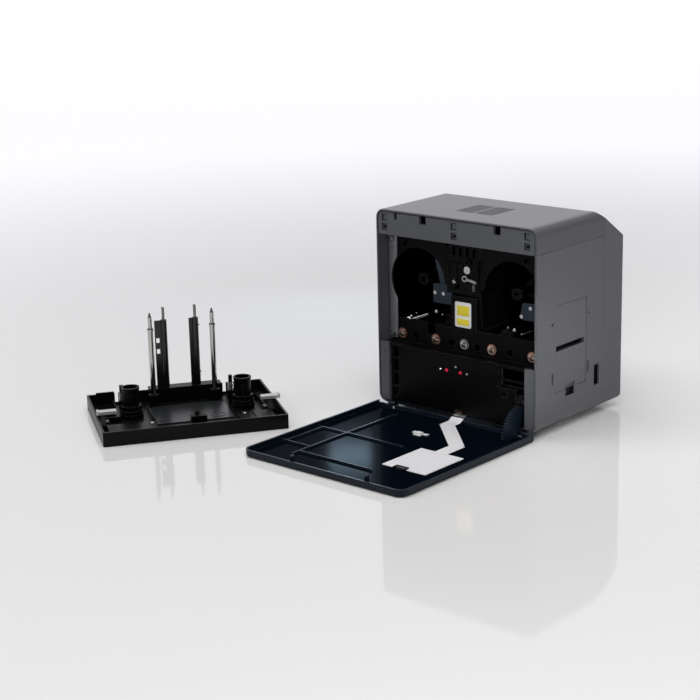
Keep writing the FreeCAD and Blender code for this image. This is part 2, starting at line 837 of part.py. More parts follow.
def make_pinch_roller(x):
    end_gap = part_gap / 2
    front = deck_wall_back - deck_wall / 2 + end_gap
    back = deck_rear_wall + deck_wall / 2 - end_gap
    shaft = rod_y(x, front, back, pinch_z, small_journal)
    body = rod_y(x, card_lane_start + deck_wall / 2, card_lane_end - deck_wall / 2, pinch_z, pinch_radius)
    return shaft.fuse(body).removeSplitter()


guide_rod_radius = 2.5
guide_rod_tip = 1.5
guide_rod_x_shares = (-0.728, -0.396, 0.584)
guide_rod_rise_shares = (1.0495, 1.462, 1.264)


def guide_rod_places():
    return [(across * half_width, post_top + rise * deck_wall_height)
            for across, rise in zip(guide_rod_x_shares, guide_rod_rise_shares)]


def make_guide_rods():
    rods = []
    for x, z in guide_rod_places():
        body = rod_y(x, deck_wall_back + part_gap, bulkhead_front, z, guide_rod_radius)
        end = [e for e in body.Edges if e.BoundBox.YMax < deck_wall_back + 2 * part_gap]
        rods.append(body.makeChamfer(guide_rod_tip, end))
    return Part.Compound(rods)


# Print head carrier, its lever and the heated roller's housing

head_left_share = 0.381
head_right_share = 0.3537
head_height_share = 0.7097
head_drop = 9.0
head_front = 19.5
head_left = -head_left_share * spool_spacing / 2
head_right = head_right_share * spool_spacing / 2
head_low = spool_height - head_drop
head_high = head_low + head_height_share * (chassis_top - head_low)
lever_x = 4.0
lever_rise_share = 1 / 3
ledge_rise_share = 0.64
lever_z = head_low + lever_rise_share * (head_high - head_low)
ledge_z = head_low + ledge_rise_share * (head_high - head_low)
head_screw_share = 0.237
head_boss_share = 0.198
head_screw = head_screw_share * (ledge_z - lever_z)
head_boss = head_boss_share * (ledge_z - lever_z)
lever_pin = 2.0
lever_front = 16.4
heater_half = 23.0
heater_gap = 2.0
heater_low = deck_wall_top + heater_gap
heater_high = head_low - heater_gap
heater_front = 18.0
heater_cover_drop = 8.0
heater_cover_inset = 3.0
heat_radius = 11.0
label_width = 25.4
label_height = 32.5
label_drop = 7.0
label_shift = 1.1
label_sheet = 0.3


def heater_centre():
    return roller_places()[2]


def heat_roller_z():
    return card_plane + card_thickness + heat_radius + part_gap / 2


def make_head_carrier():
    # a closed carrier whose front has a plinth, a pocket, slots, bosses and the lever's pin
    corner_size = 9.0
    pocket_sink = 9.0
    web = 3.0
    slot_count = 4
    stud_inset = 16.5
    pocket_share = 0.106
    front = head_front
    points = [(head_left, head_low), (head_right, head_low), (head_right, head_high),
              (head_left + corner_size, head_high), (head_left, head_high - corner_size)]
    block = plate_y(points, front + 2 * edge_soft, bulkhead_front)
    plinth = plate_y(rectangle(head_left + web, head_right - web, head_low + web, ledge_z - web),
                     front, front + 3 * edge_soft, [web] * 4)
    pocket_low = head_low + 2 * web
    pocket = box(head_left + 5 * web, lever_x - 3 * web, 0, front + pocket_sink,
                 pocket_low, pocket_low + pocket_share * (head_high - head_low))
    slots = []
    slot_pitch = (head_right - head_left - 4 * web) / slot_count
    for index in range(slot_count):
        x = head_left + 3 * web + index * slot_pitch
        slots.append(box(x, x + slot_pitch / 2, 0, front + pocket_sink,
                         ledge_z + 2 * web, head_high - 2 * web))
    bosses = []
    holes = []
    for x in (lever_x + web, head_right - 1.5 * web):
        bosses.append(rod_y(x, front - edge_soft, front + 3 * edge_soft, ledge_z, head_boss))
        holes.append(rod_y(x, front - overrun, front + 2 * edge_soft, ledge_z, head_boss / 2))
    stud = rod_y(lever_x - stud_inset, front - 2 * edge_soft, front + 2 * edge_soft,
                 lever_z - 2 * web, head_boss)
    pin = rod_y(lever_x, lever_front - part_gap, front + edge_soft, lever_z, lever_pin)
    body = block.fuse(plinth).cut([pocket] + slots)
    return body.multiFuse(bosses + [stud, pin]).cut(holes).removeSplitter()


def make_head_lever():
    # a stamped steel lever that frees the print head
    hub_radius = 4.0
    arm_length = 18.0
    arm_width = 3.0
    arm_drop = 3.0
    back = head_front - part_gap
    hub = rod_y(lever_x, lever_front, back, lever_z, hub_radius)
    tip_x = lever_x + arm_length
    tip_z = lever_z - arm_drop
    points = [(lever_x, lever_z + arm_width / 2), (lever_x, lever_z - arm_width / 2),
              (tip_x, tip_z - arm_width / 2), (tip_x, tip_z + arm_width / 2)]
    arm = plate_y(points, lever_front, back, [0, 0, arm_width / 3, arm_width / 3])
    bore = rod_y(lever_x, 0, head_front + overrun, lever_z, lever_pin + shaft_clearance)
    return hub.fuse(arm).cut(bore).removeSplitter()


def make_heater_housing():
    # the cover over the heated roller, with hangers that carry the roller's journals
    skin = 3.6
    x = heater_centre()
    low = heater_low
    back_start = deck_wall_back + part_gap
    cover_back = mech_front - part_gap / 2
    body = box(x - heater_half, x + heater_half, back_start, bulkhead_front, low, heater_high)
    cover_low = deck_wall_top - heater_cover_drop
    cover_half = heater_half - heater_cover_inset
    cover = plate_y(rectangle(x - cover_half, x + cover_half, cover_low, heater_high),
                    heater_front, cover_back, [skin / 2] * 4)
    neck = box(x - cover_half, x + cover_half, cover_back, back_start, low, heater_high)
    cavity = box(x - heater_half + skin, x + heater_half - skin, deck_wall_back + skin, deck_rear_wall,
                 low - overrun, heat_roller_z() + heat_radius + skin)
    journal = rod_y(x, back_start, deck_end, heat_roller_z(), small_journal + shaft_clearance)
    hangers = []
    for start, end in ((back_start, deck_wall_back + skin), (deck_rear_wall, deck_end)):
        hangers.append(rod_y(x, start, end, heat_roller_z(), 2 * small_journal))
    return body.multiFuse([cover, neck]).cut(cavity).multiFuse(hangers).cut(journal).removeSplitter()


def make_heat_roller():
    x = heater_centre()
    z = heat_roller_z()
    shaft = rod_y(x, deck_wall_back + 2 * part_gap, deck_rear_wall + deck_wall - part_gap, z, small_journal)
    body = rod_y(x, card_lane_start + deck_wall / 2, card_lane_end - deck_wall / 2, z, heat_radius)
    return shaft.fuse(body).removeSplitter()


def make_blank_label():
    x = heater_centre() - label_shift
    top = heater_high - label_drop
    points = rectangle(x - label_width / 2, x + label_width / 2, top - label_height, top)
    return plate_y(points, heater_front - label_sheet, heater_front, [edge_soft * 2] * 4)


bracket_setback = 17.0
bracket_sheet = 2.0
bracket_front = mech_front + bracket_setback
bracket_drop_share = 0.706
left_bracket_shares = ((0, 0.499), (0, 1.365), (0.2, 1.365), (0.4, 1.28), (0.66, 1.41), (0.66, 1.27),
                       (0.4835, 0.612), (0.747, 0.588), (0.747, 0), (0.077, 0), (0.077, 0.499))


def make_film_brackets():
    # plated brackets beside each spool, one on the head carrier and one on the right side
    across = spool_spacing / 2 + head_left
    low = spool_height - bracket_drop_share * spool_bay_radius
    outline = [(head_left - u * across, low + v * spool_bay_radius) for u, v in left_bracket_shares]
    left = plate_y(outline, bracket_front, bracket_front + bracket_sheet)
    top_reach = 40.0
    low_reach = 44.0
    drop = 11.0
    height = 22.0
    tab_depth = 12.0
    corner = 4.0
    high = spool_height - drop
    right = plate_y([(chassis_half - low_reach, high - height), (chassis_half, high - height),
                     (chassis_half, high), (chassis_half - top_reach, high)],
                    bracket_front, bracket_front + bracket_sheet, [corner, 0, 0, corner])
    tab = box(chassis_half - 2 * bracket_sheet, chassis_half, bracket_front, bracket_front + tab_depth,
              high - height, high)
    return Part.Compound([left, right.fuse(tab).removeSplitter()])


def screw_head(x, y_back, z, radius, height):
    head = rod_y(x, y_back - height, y_back, z, radius)
    arm_share = 0.7
    slot = radius / 3
    reach = arm_share * radius
    outer = y_back - height - overrun
    floor = y_back - height / 2
    cross = [box(x - slot / 2, x + slot / 2, outer, floor, z - reach, z + reach),
             box(x - reach, x + reach, outer, floor, z - slot / 2, z + slot / 2)]
    return head.cut(cross)


def bracket_screw_places():
    left_drop = 16.5
    inner_left = 16.5
    outer_left = 30.0
    inner_right = 27.0
    outer_right = 40.5
    low_drop = 28.5
    left_row = spool_height - left_drop
    return ((head_left - inner_left, left_row), (head_left - outer_left, left_row),
            (chassis_half - inner_right, left_row), (chassis_half - outer_right, spool_height - low_drop))


def make_inner_screws():
    # cross-head screws of the flange, brackets and head, and the slotted one of the damper's axle
    head = 2.4
    flange_head = 3.6
    height = 1.6
    head_shift = 3.0
    head_rise_share = 0.545
    flange_rise = 50.0
    flange_low_rise = 8.0
    flange_x = -(post_inner + post_width / 2)
    head_screw_z = lever_z + head_rise_share * (ledge_z - lever_z)
    screws = [screw_head(lever_x + head_shift, head_front, head_screw_z, head_screw, height)]
    screws.append(screw_head(flange_x, mech_front, spool_height + flange_rise, flange_head, height))
    screws.append(screw_head(flange_x, mech_front, post_top + flange_low_rise, flange_head, height))
    for x, z in bracket_screw_places():
        screws.append(screw_head(x, bracket_front, z, head, height))
    pinion_end = sector_side + gear_width + edge_soft
    axle = rod_x(pinion_end, pinion_end + height, pinion_y, pinion_z, head)
    slot = box(pinion_end + height / 2, pinion_end + overrun, pinion_y - head / 6, pinion_y + head / 6,
               pinion_z - head, pinion_z + head)
    screws.append(axle.cut(slot))
    return Part.Compound(screws)


# Lower front panel

left_ladder_width = 15.8
right_ladder_width = 38.7
sector_gap = 3.0
panel_front = 1.0
panel_sheet = 3.0
panel_back = panel_front + panel_sheet
panel_rise = 3.0
panel_step_drop = 26.2
panel_left = left_ladder_width - post_inner
panel_right = sector_side - sector_gap
panel_step = post_inner - right_ladder_width
panel_low = pan_top + panel_rise
panel_step_z = deck_under - panel_step_drop
lamp_rise = 7.3
lamp_row_z = panel_step_z + lamp_rise
lamp_radius = 2.2
dot_radius = 1.2
dot_lift = 6.4
red_lamp_shares = (-0.104, 0.0712)
white_lamp_shares = ((-0.1856, 0), (0.012, 1), (0.152, 0))


def red_lamp_places():
    return [(share * half_width, lamp_row_z) for share in red_lamp_shares]


def white_lamp_places():
    return [(share * half_width, lamp_row_z + lifted * dot_lift) for share, lifted in white_lamp_shares]


def ladder(x0, x1, low, high):
    # the open lattice between the panel and a post
    bar = 2.6
    pitch = 19.0
    front = 5.0
    sheet = 2.5
    body = box(x0, x1, front, front + sheet, low, high)
    windows = []
    for index in range(int((high - low) / pitch) + 1):
        start = max(high - (index + 1) * pitch + bar, low + bar)
        end = min(high - index * pitch, high - bar)
        if end - start > bar:
            windows.append(box(x0 + bar, x1 - bar, 0, front + sheet + overrun, start, end))
    return body.cut(windows)


def make_lower_panel():
    # the panel with its ledge, boss, lamp holes, cable mouth and the lattice beside it
    ledge_forward = 0.9
    boss_inset = 31.2
    boss_drop = 8.4
    boss_radius = 6.5
    dimple_radius = 4.4
    link_back = 7.5
    top = deck_under
    points = [(panel_left, panel_low), (panel_right, panel_low), (panel_right, panel_step_z),
              (panel_step, panel_step_z), (panel_step, top), (panel_left, top)]
    face = plate_y(points, panel_front, panel_back, [0, 0, edge_soft, 0, 0, 0])
    ledge = box(panel_step - 2 * wall, panel_right, panel_front - ledge_forward, panel_back,
                panel_step_z - edge_soft, panel_step_z)
    boss_x = post_inner - boss_inset
    boss_z = panel_step_z - boss_drop
    boss = rod_y(boss_x, panel_front - edge_soft / 2, panel_back, boss_z, boss_radius)
    dimple = rod_y(boss_x, panel_front - overrun, panel_back - panel_sheet / 2, boss_z, dimple_radius)
    lip_back = front_sink + pan_sheet
    mouth_start = cable_tail_x0 - 2 * part_gap
    mouth_end = cable_tail_x1 + 2 * part_gap
    adds = [ledge, boss]
    adds.append(ladder(-post_inner + seam, panel_left, pan_top, top))
    adds.append(ladder(panel_step, post_inner - seam, panel_step_z, top))
    adds.append(box(panel_left - seam, panel_left + wall, lip_back, link_back, pan_top, top))
    adds.append(box(panel_step - wall, panel_step + seam, panel_front, link_back, panel_step_z, top))
    adds.append(box(panel_left, mouth_start, lip_back, panel_back, pan_top, panel_low))
    adds.append(box(mouth_end, panel_right, lip_back, panel_back, pan_top, panel_low))
    cuts = [dimple, box(mouth_start, mouth_end, 0, link_back + overrun, 0, panel_low)]
    for x, z in red_lamp_places():
        cuts.append(rod_y(x, 0, panel_back + overrun, z, lamp_radius))
    for x, z in white_lamp_places():
        cuts.append(rod_y(x, 0, panel_back + overrun, z, dot_radius))
    return face.multiFuse(adds).cut(cuts).removeSplitter()


def lamp(x, z, radius):
    # a lamp body with a domed front
    body = rod_y(x, panel_front, panel_back, z, radius)
    dome = Part.makeSphere(radius, Vec(x, panel_front, z))
    dome = dome.common(box(x - radius, x + radius, panel_front - radius, panel_front, z - radius, z + radius))
    return body.fuse(dome).removeSplitter()


def make_red_lamps():
    return Part.Compound([lamp(x, z, lamp_radius) for x, z in red_lamp_places()])


def make_white_lamps():
    return Part.Compound([lamp(x, z, dot_radius) for x, z in white_lamp_places()])


def make_damper_housing():
    # a bracket on the pan that carries the damper's axle beside the gear sector
    sheet = 2.2
    hub_radius = 6.4
    foot_depth = 12.0
    side = sector_side - part_gap
    start = side - sheet
    hub = rod_x(start, side, pinion_y, pinion_z, hub_radius)
    foot_start = panel_back + part_gap / 2
    foot_end = foot_start + foot_depth
    points = [(foot_start, pan_top), (foot_end, pan_top), (foot_end, pinion_z),
              (foot_start, pinion_z + hub_radius / 2)]
    arm = plate_x(points, start, side)
    axle = rod_x(start, sector_side + gear_width + edge_soft, pinion_y, pinion_z, hinge_pin_radius)
    return hub.multiFuse([arm, axle]).removeSplitter()


# Electronics behind the bulkhead

def make_control_board():
    # the main board on its posts, and the power supply as a closed block beside it
    standoff = 5.0
    sheet = 1.6
    corner_inset = 8.0
    board_width_share = 0.43
    board_height_share = 0.38
    side_margin = 8.0
    board_lift = 16.4
    supply_width_share = 0.38
    supply_height = 29.0
    supply_lift = 14.0
    supply_depth_share = 0.4
    chip_shares = ((0.25, 0.3, 0.18), (0.6, 0.62, 0.22), (0.75, 0.2, 0.12), (0.2, 0.72, 0.1))
    board_front = bulkhead_back + standoff
    left = side_margin - chassis_half
    width = 2 * board_width_share * chassis_half
    low = pan_top + board_lift
    height = board_height_share * (chassis_top - pan_top)
    parts = [box(left, left + width, board_front, board_front + sheet, low, low + height)]
    for x in (left + corner_inset, left + width - corner_inset):
        for z in (low + corner_inset, low + height - corner_inset):
            parts.append(rod_y(x, bulkhead_back, board_front, z, small_journal))
    for along, up, size in chip_shares:
        x = left + along * width
        z = low + up * height
        edge = size * width / 2
        parts.append(box(x - edge, x + edge, board_front + sheet, board_front + 3 * sheet,
                         z - edge, z + edge))
    supply_right = chassis_half - side_margin
    supply_width = 2 * supply_width_share * chassis_half
    supply_depth = supply_depth_share * (rear_inner - bulkhead_back)
    supply = box(supply_right - supply_width, supply_right, bulkhead_back, bulkhead_back + supply_depth,
                 pan_top + supply_lift, pan_top + supply_lift + supply_height)
    return Part.Compound([fuse_all(parts), supply])


def make_drive_motor():
    size = 42.0
    length_share = 0.55
    drop = 76.5
    shift = 17.5
    length = length_share * (rear_inner - bulkhead_back)
    z = chassis_top - drop
    return plate_y(rectangle(-shift - size / 2, size / 2 - shift, z - size / 2, z + size / 2),
                   bulkhead_back, bulkhead_back + length, [size / 8] * 4)


# Spool couplers

def make_spool_coupler(x):
    # a shaft whose head has a six-lobed socket
    head_radius = 8.5
    head_setback = 11.0
    head_length = 12.0
    shaft_overhang = 3.0
    lobes = 6
    slot_width = 2.0
    slot_reach = 5.6
    socket_radius = 2.6
    depth = 7.0
    front = mech_front + head_setback
    back = front + head_length
    head = rod_y(x, front, back, spool_height, head_radius)
    rims = [e for e in head.Edges if e.BoundBox.YMax < front + touch]
    head = head.makeChamfer(edge_soft, rims)
    shaft = rod_y(x, back, bulkhead_back + shaft_overhang, spool_height, journal_radius)
    cuts = [rod_y(x, 0, front + depth, spool_height, socket_radius)]
    for index in range(lobes // 2):
        slot = box(-slot_reach, slot_reach, 0, front + depth, -slot_width / 2, slot_width / 2)
        slot.rotate(Vec(0, 0, 0), Vec(0, 1, 0), index * 360 / lobes)
        slot.translate(Vec(x, 0, spool_height))
        cuts.append(slot)
    return head.fuse(shaft).cut(cuts).removeSplitter()


# Door

def door_ribs():
    # low ribs on the door's floor, placed as shares of its half width and of its length
    long_share = -0.6
    short_share = -0.92
    middle_share = 0.13
    right_share = 0.33
    row_shares = (0.74, 0.48, 0.82)
    near_share = 0.09
    front_stop = 34.0
    low = door_lift + door_floor
    high = low + rib_height
    left_in = door_wall - half_width
    long_x = long_share * half_width
    short_x = short_share * half_width
    rows = [door_far * share for share in row_shares]
    return [box(left_in, long_x, rows[0], rows[0] + door_rib, low, high),
            box(short_x, short_x + door_rib, rows[0], rows[1], low, high),
            box(left_in, middle_share * half_width, rows[1], rows[1] + door_rib, low, high),
            box(long_x, long_x + door_rib, door_far + front_stop, near_share * door_far, low, high),
            box(long_x, right_share * half_width, rows[2], rows[2] + door_rib, low, high)]


def door_hooks():
    # the two latch hooks that enter the header's notches when the door closes
    hook_sheet = 3.2
    hook_width = 4.4
    hook_rise = 5.4
    low = door_lift + door_floor
    high = door_top + hook_rise
    hook_y = hinge_y - (latch_low + latch_hole / 2 - hinge_z)
    front = hook_y - hook_sheet / 2
    back = hook_y + hook_sheet / 2
    outline = [(front, low), (back, low), (back, high), (front - edge_soft, high - edge_soft),
               (front, high - 2 * edge_soft)]
    hooks = []
    for share in latch_x_shares:
        x = share * half_width
        hooks.append(plate_x(outline, x - hook_width / 2, x + hook_width / 2))
    return hooks


def door_comb():
    # a bar with a comb beside the right hook, along the door's far edge
    comb_gap = 13.2
    comb_inset = 8.8
    comb_pitch = 4.0
    comb_width = 1.4
    low = door_lift + door_floor
    high = low + rib_height
    front_in = door_far + door_wall
    start = latch_x_shares[1] * half_width + comb_gap
    end = half_width - comb_inset
    pieces = [box(start, end, front_in + wall, front_in + 3 * wall, low, high)]
    for index in range(int((end - start) / comb_pitch)):
        x = start + index * comb_pitch
        pieces.append(box(x, x + comb_width, front_in, front_in + wall, low, high))
    return pieces


def make_door_shell():
    rear_drop = 2.5
    chamfer_share = 0.8
    back = door_near
    soft = corner_radius
    floor_top = door_lift + door_floor
    outer = plate_z(rectangle(-half_width, half_width, door_far, back), door_lift, door_top,
                    [soft, soft, door_wall, door_wall])
    under = [e for e in outer.Edges if abs(e.BoundBox.ZMax - door_lift) < touch
             and e.BoundBox.YMin < back - edge_soft]
    outer = outer.makeChamfer(chamfer_share * door_wall, under)
    inner = plate_z(rectangle(door_wall - half_width, half_width - door_wall,
                              door_far + door_wall, back - door_wall),
                    floor_top, door_top + overrun, [soft - door_wall, soft - door_wall, door_rib, door_rib])
    low_rear = box(door_wall - half_width, half_width - door_wall, back - 2 * door_wall, back + overrun,
                   door_top - rear_drop, door_top + overrun)
    shell = outer.cut([inner, low_rear])
    lug = rod_x(left_lug_start, left_lug_end, hinge_y, hinge_z, ear_radius)
    lug_neck = box(left_lug_start, left_lug_end, hinge_y - 2 * ear_radius, hinge_y,
                   floor_top - door_floor / 2, hinge_z)
    sweep = ear_radius + part_gap
    ear_cut_left = box(left_lug_end, left_ear_start() + ear_width + part_gap, hinge_y - sweep, back + overrun,
                       0, door_top + overrun)
    ear_cut_right = box(right_ear_start() - part_gap, right_ear_start() + ear_width + part_gap,
                        hinge_y - sweep, back + overrun, 0, door_top + overrun)
    window = plate_z(window_outline(part_gap / 4), 0, floor_top + overrun, [window_corner] * 4)
    bore = rod_x(left_lug_start - overrun, left_lug_end + overrun, hinge_y, hinge_z,
                 hinge_pin_radius + shaft_clearance)
    sector_cut = box(sector_side - part_gap, right_ear_start(), door_near - door_wall - part_gap,
                     back + overrun, floor_top, door_top + overrun)
    body = shell.multiFuse(door_ribs() + door_hooks() + door_comb())
    body = body.cut([ear_cut_left, ear_cut_right, sector_cut, window])
    return body.multiFuse([lug, lug_neck]).cut(bore).removeSplitter()


plate_x_shares = (0.296, 0.816)
plate_y_shares = (0.7287, 0.4419)
plate_x0 = plate_x_shares[0] * half_width
plate_x1 = plate_x_shares[1] * half_width
plate_y0 = plate_y_shares[0] * door_far
plate_y1 = plate_y_shares[1] * door_far
window_corner = 3.0
display_plate_sheet = 0.8
display_rise = 0.9


def window_outline(grow):
    inset = 8.0
    return rectangle(plate_x0 + inset - grow, plate_x1 - inset + grow, plate_y0 + 2 * inset - grow,
                     plate_y1 - 2 * inset + grow)


def make_display_window():
    # the clear window in the door's outer face, with the display body behind it
    floor_top = door_lift + door_floor
    inset = 4.0
    pane = plate_z(window_outline(0), door_lift + part_gap / 4, floor_top, [window_corner] * 4)
    body = box(plate_x0 + inset, plate_x1 - inset, plate_y0 + inset, plate_y1 - inset, floor_top,
               floor_top + display_rise)
    return pane.fuse(body).removeSplitter()


def make_display_plate():
    clip_share = 0.42
    clip_half = 9.0
    clip_depth = 5.0
    corner = 1.0
    low = door_lift + door_floor + display_rise
    sheet = display_plate_sheet
    body = plate_z(rectangle(plate_x0, plate_x1, plate_y0, plate_y1), low, low + sheet, [corner] * 4)
    clip_x = plate_x0 + clip_share * (plate_x1 - plate_x0)
    notch = box(clip_x - clip_half, clip_x + clip_half, plate_y0 + sheet, plate_y0 + clip_depth,
                low, low + sheet)
    return body.cut(notch)


def cable_points():
    # middle line of the ribbon from the plate to the hinge, as (x, y) pairs
    start_share = 0.484
    first_bend_share = 0.3275
    second_bend_share = 0.093
    cable_overlap = 6.0
    ramp_run = 8.0
    first_x = plate_x0 + start_share * (plate_x1 - plate_x0)
    last_x = cable_tail_x0 + cable_width / 2
    return [(first_x, plate_y1 - cable_overlap), (first_x, first_bend_share * door_far),
            (last_x, second_bend_share * door_far), (last_x, hinge_y - ramp_run)]


def make_flat_cable():
    bend_share = 0.45
    ramp_gap = 0.2
    ramp_rise = 0.6
    low = door_lift + door_floor + display_rise + display_plate_sheet
    top = low + cable_sheet
    points = cable_points()
    half = cable_width / 2
    bend = bend_share * half
    first = rectangle(points[0][0] - half, points[0][0] + half, points[0][1], points[1][1] + bend)
    slant_length = math.hypot(points[2][0] - points[1][0], points[2][1] - points[1][1])
    along_x = (points[2][0] - points[1][0]) / slant_length
    along_y = (points[2][1] - points[1][1]) / slant_length
    side_x = -along_y * half
    side_y = along_x * half
    slant = [(points[1][0] - side_x, points[1][1] - side_y), (points[2][0] - side_x, points[2][1] - side_y),
             (points[2][0] + side_x, points[2][1] + side_y), (points[1][0] + side_x, points[1][1] + side_y)]
    last = rectangle(points[2][0] - half, points[2][0] + half, points[2][1] - bend, points[3][1])
    flat = plate_z(first, low, top)
    flat = flat.multiFuse([plate_z(slant, low, top), plate_z(last, low, top)])
    ramp_start = points[3][1]
    ramp_end = hinge_y - ramp_gap
    ramp_top = hinge_z + ramp_rise
    ramp = plate_x([(ramp_start, low), (ramp_end, ramp_top), (ramp_end, ramp_top + cable_sheet),
                    (ramp_start, top)], points[3][0] - half, points[3][0] + half)
    return flat.fuse(ramp).removeSplitter()


def make_cable_tail():
    # the end of the ribbon that the printer's base holds, in its clamp
    tail_length = 14.0
    clamp_start = 7.5
    clamp_end = 13.0
    clamp_rise = 5.0
    low = pan_top
    start = front_sink
    tail = box(cable_tail_x0, cable_tail_x1, start, start + tail_length, low, low + cable_sheet)
    clamp = box(cable_tail_x0 - part_gap, cable_tail_x1 + part_gap, start + clamp_start, start + clamp_end,
                low + cable_sheet, low + clamp_rise)
    return tail.fuse(clamp).removeSplitter()


def make_cable_clip():
    # small white cable holder on the door's floor
    place_shares = (-0.012, 0.27)
    clip_half = 11.5
    clip_sheet = 1.2
    cheek_rise = 3.0
    outline_shares = ((-0.96, -0.09), (-0.43, -0.09), (-0.43, -0.61), (0.52, -0.61), (0.52, -0.09),
                      (1.04, -0.09), (1.04, 0.43), (0.35, 0.26), (-0.35, 0.26), (-0.96, 0.43))
    cheek_shares = (-0.35, 0.43, -0.35, 0.17)
    low = door_lift + door_floor
    x = place_shares[0] * half_width
    y = place_shares[1] * door_far
    points = [(x + u * clip_half, y + v * clip_half) for u, v in outline_shares]
    base = plate_z(points, low, low + clip_sheet)
    u0, u1, v0, v1 = [share * clip_half for share in cheek_shares]
    cheek = box(x + u0, x + u1, y + v0, y + v1, low + clip_sheet, low + cheek_rise)
    return base.fuse(cheek).removeSplitter()


# Involute gear forms for the door damper

def involute_point(base_radius, radius, offset):
    roll = math.sqrt(max((radius / base_radius) ** 2 - 1, 0))
    angle = roll - math.atan(roll)
    return radius, offset - angle


def tooth_outline(pitch_radius, centre_angle, inward):
    # polar points of one tooth from its root on one side to its root on the other
    base_radius = pitch_radius * math.cos(math.radians(pressure_degrees))
    tip_radius = pitch_radius + addendum
    root_radius = pitch_radius - dedendum
    thickness = math.pi * gear_module / 2 - backlash
    roll = math.sqrt((pitch_radius / base_radius) ** 2 - 1)
    half = thickness / (2 * pitch_radius) + roll - math.atan(roll)
    steps = 4
    start_radius = max(base_radius, root_radius)
    flank = []
    for step in range(steps + 1):
        radius = start_radius + (tip_radius - start_radius) * step / steps
        flank.append(involute_point(base_radius, radius, half))
    left = [(root_radius - inward, centre_angle - half)] + [(r, centre_angle - a) for r, a in flank]
    right = [(r, centre_angle + a) for r, a in reversed(flank)]
    return left + right + [(root_radius - inward, centre_angle + half)]


def polar_prism(points, centre_y, centre_z, x0, x1):
    flat = [(centre_y + r * math.cos(a), centre_z + r * math.sin(a)) for r, a in points]
    return plate_x(flat, x0, x1)


def make_gear_sector():
    # quarter gear on the door: its teeth run from the pinion's line to a quarter turn past it
    rim_overlap = 1.6
    end_overlap = 0.6
    foot_share = 0.74
    recess_share = 0.78
    boss_share = 2.4
    pitch_angle = 2 * math.pi / sector_full_teeth
    last = int(math.pi / 2 / pitch_angle) + 1
    x0 = sector_side
    x1 = sector_side + gear_width
    root = sector_radius - dedendum
    start = pinion_angle - rim_overlap * pitch_angle
    end = pinion_angle + (last + end_overlap) * pitch_angle
    disc = rod_x(x0, x1, hinge_y, hinge_z, root)
    reach = 2 * sector_radius
    wedge = polar_prism([(0, start), (reach, start), (reach, (start + end) / 2), (reach, end)],
                        hinge_y, hinge_z, x0 - overrun, x1 + overrun)
    body = disc.common(wedge)
    hub = rod_x(x0, x1, hinge_y, hinge_z, 2 * hinge_pin_radius)
    teeth = []
    for index in range(-1, last + 1):
        angle = pinion_angle + index * pitch_angle
        teeth.append(polar_prism(tooth_outline(sector_radius, angle, gear_module), hinge_y, hinge_z, x0, x1))
    floor_top = door_lift + door_floor
    foot_start = hinge_y - foot_share * sector_radius
    foot_end = door_near - door_wall - part_gap
    foot = box(x0, x1, foot_start, foot_end, floor_top, hinge_z)
    flange = box(x0 - gear_width, x1, foot_start, foot_end, floor_top, floor_top + edge_soft)
    whole = body.multiFuse([hub, foot, flange] + teeth)
    recess = rod_x(x1 - edge_soft / 2, x1 + overrun, hinge_y, hinge_z, recess_share * root)
    recess = recess.cut(rod_x(x1 - edge_soft, x1 + overrun, hinge_y, hinge_z, boss_share * hinge_pin_radius))
    below = box(x0 - overrun, x1 + 2 * overrun, -case_depth, case_depth, -case_depth, hinge_z)
    bore = rod_x(x0 - overrun, x1 + overrun, hinge_y, hinge_z, hinge_pin_radius + shaft_clearance)
    return whole.cut([recess.cut(below), bore]).removeSplitter()


def make_damper_pinion():
    x0 = sector_side + part_gap / 4
    x1 = sector_side + gear_width + edge_soft / 2
    step_angle = 2 * math.pi / pinion_teeth
    first_tooth = pinion_angle + math.pi + step_angle / 2
    body = rod_x(x0, x1, pinion_y, pinion_z, pinion_radius - dedendum)
    teeth = []
    for index in range(pinion_teeth):
        angle = first_tooth + index * step_angle
        outline = tooth_outline(pinion_radius, angle, gear_module)
        teeth.append(polar_prism(outline, pinion_y, pinion_z, x0, x1))
    bore = rod_x(x0 - overrun, x1 + overrun, pinion_y, pinion_z, hinge_pin_radius + shaft_clearance)
    return body.multiFuse(teeth).cut(bore).removeSplitter()


# Spool cassette, drawn flat from its near left corner and then set beside the printer

hub_shift = 5.5
rod_shift = 8.5
steel_spread_share = 0.279
post_spread_share = 0.143
hub_v = 101.5
steel_v = 142.0
post_v = 157.0
pedestal_top = 10.0
pedestal_share = 1.3
cup_base_top = 14.5
hub_pin_radius = 4.0
left_peg_aside = 9.5
right_peg_aside = 12.5
peg_back = 18.0
peg_radius = 2.6
peg_foot_radius = 3.8
rod_boss_radius = 6.5
rod_boss_top = 20.0
far_block_top = 24.0
journal_step = 1.0
hub_middle_u = cassette_length / 2 + hub_shift
hub_u = (hub_middle_u - spool_spacing / 2, hub_middle_u + spool_spacing / 2)
middle_u = cassette_length / 2 + rod_shift
finger_inset = 6.1
finger_u = middle_u - finger_inset
finger_width = 20.0
finger_near = 52.0
finger_far = 62.0
finger_tip = 66.0
handle_length = 25.0
handle_breadth = 11.0
handle_sheet = 4.0
handle_v = 70.0
handle_low = 20.0
handle_travel = 4.0
handle_seat_reach = 17.0
left_handle_inset = 2.0
right_handle_overhang = 5.0
handle_inset = cassette_wall + 3 * part_gap + handle_travel / 4
shelf_rise = 5.0


def place_cassette(shape):
    shape.rotate(Vec(0, 0, 0), Vec(0, 0, 1), cassette_turn)
    shape.translate(Vec(cassette_corner_x, cassette_corner_y, 0))
    return shape


def steel_rod_u(side):
    return middle_u + side * steel_spread_share * spool_spacing


def guide_post_u(side):
    return middle_u + side * post_spread_share * spool_spacing


def peg_places():
    left, right = hub_u
    return [(left - left_peg_aside, hub_v + peg_back), (right - right_peg_aside, hub_v + peg_back)]


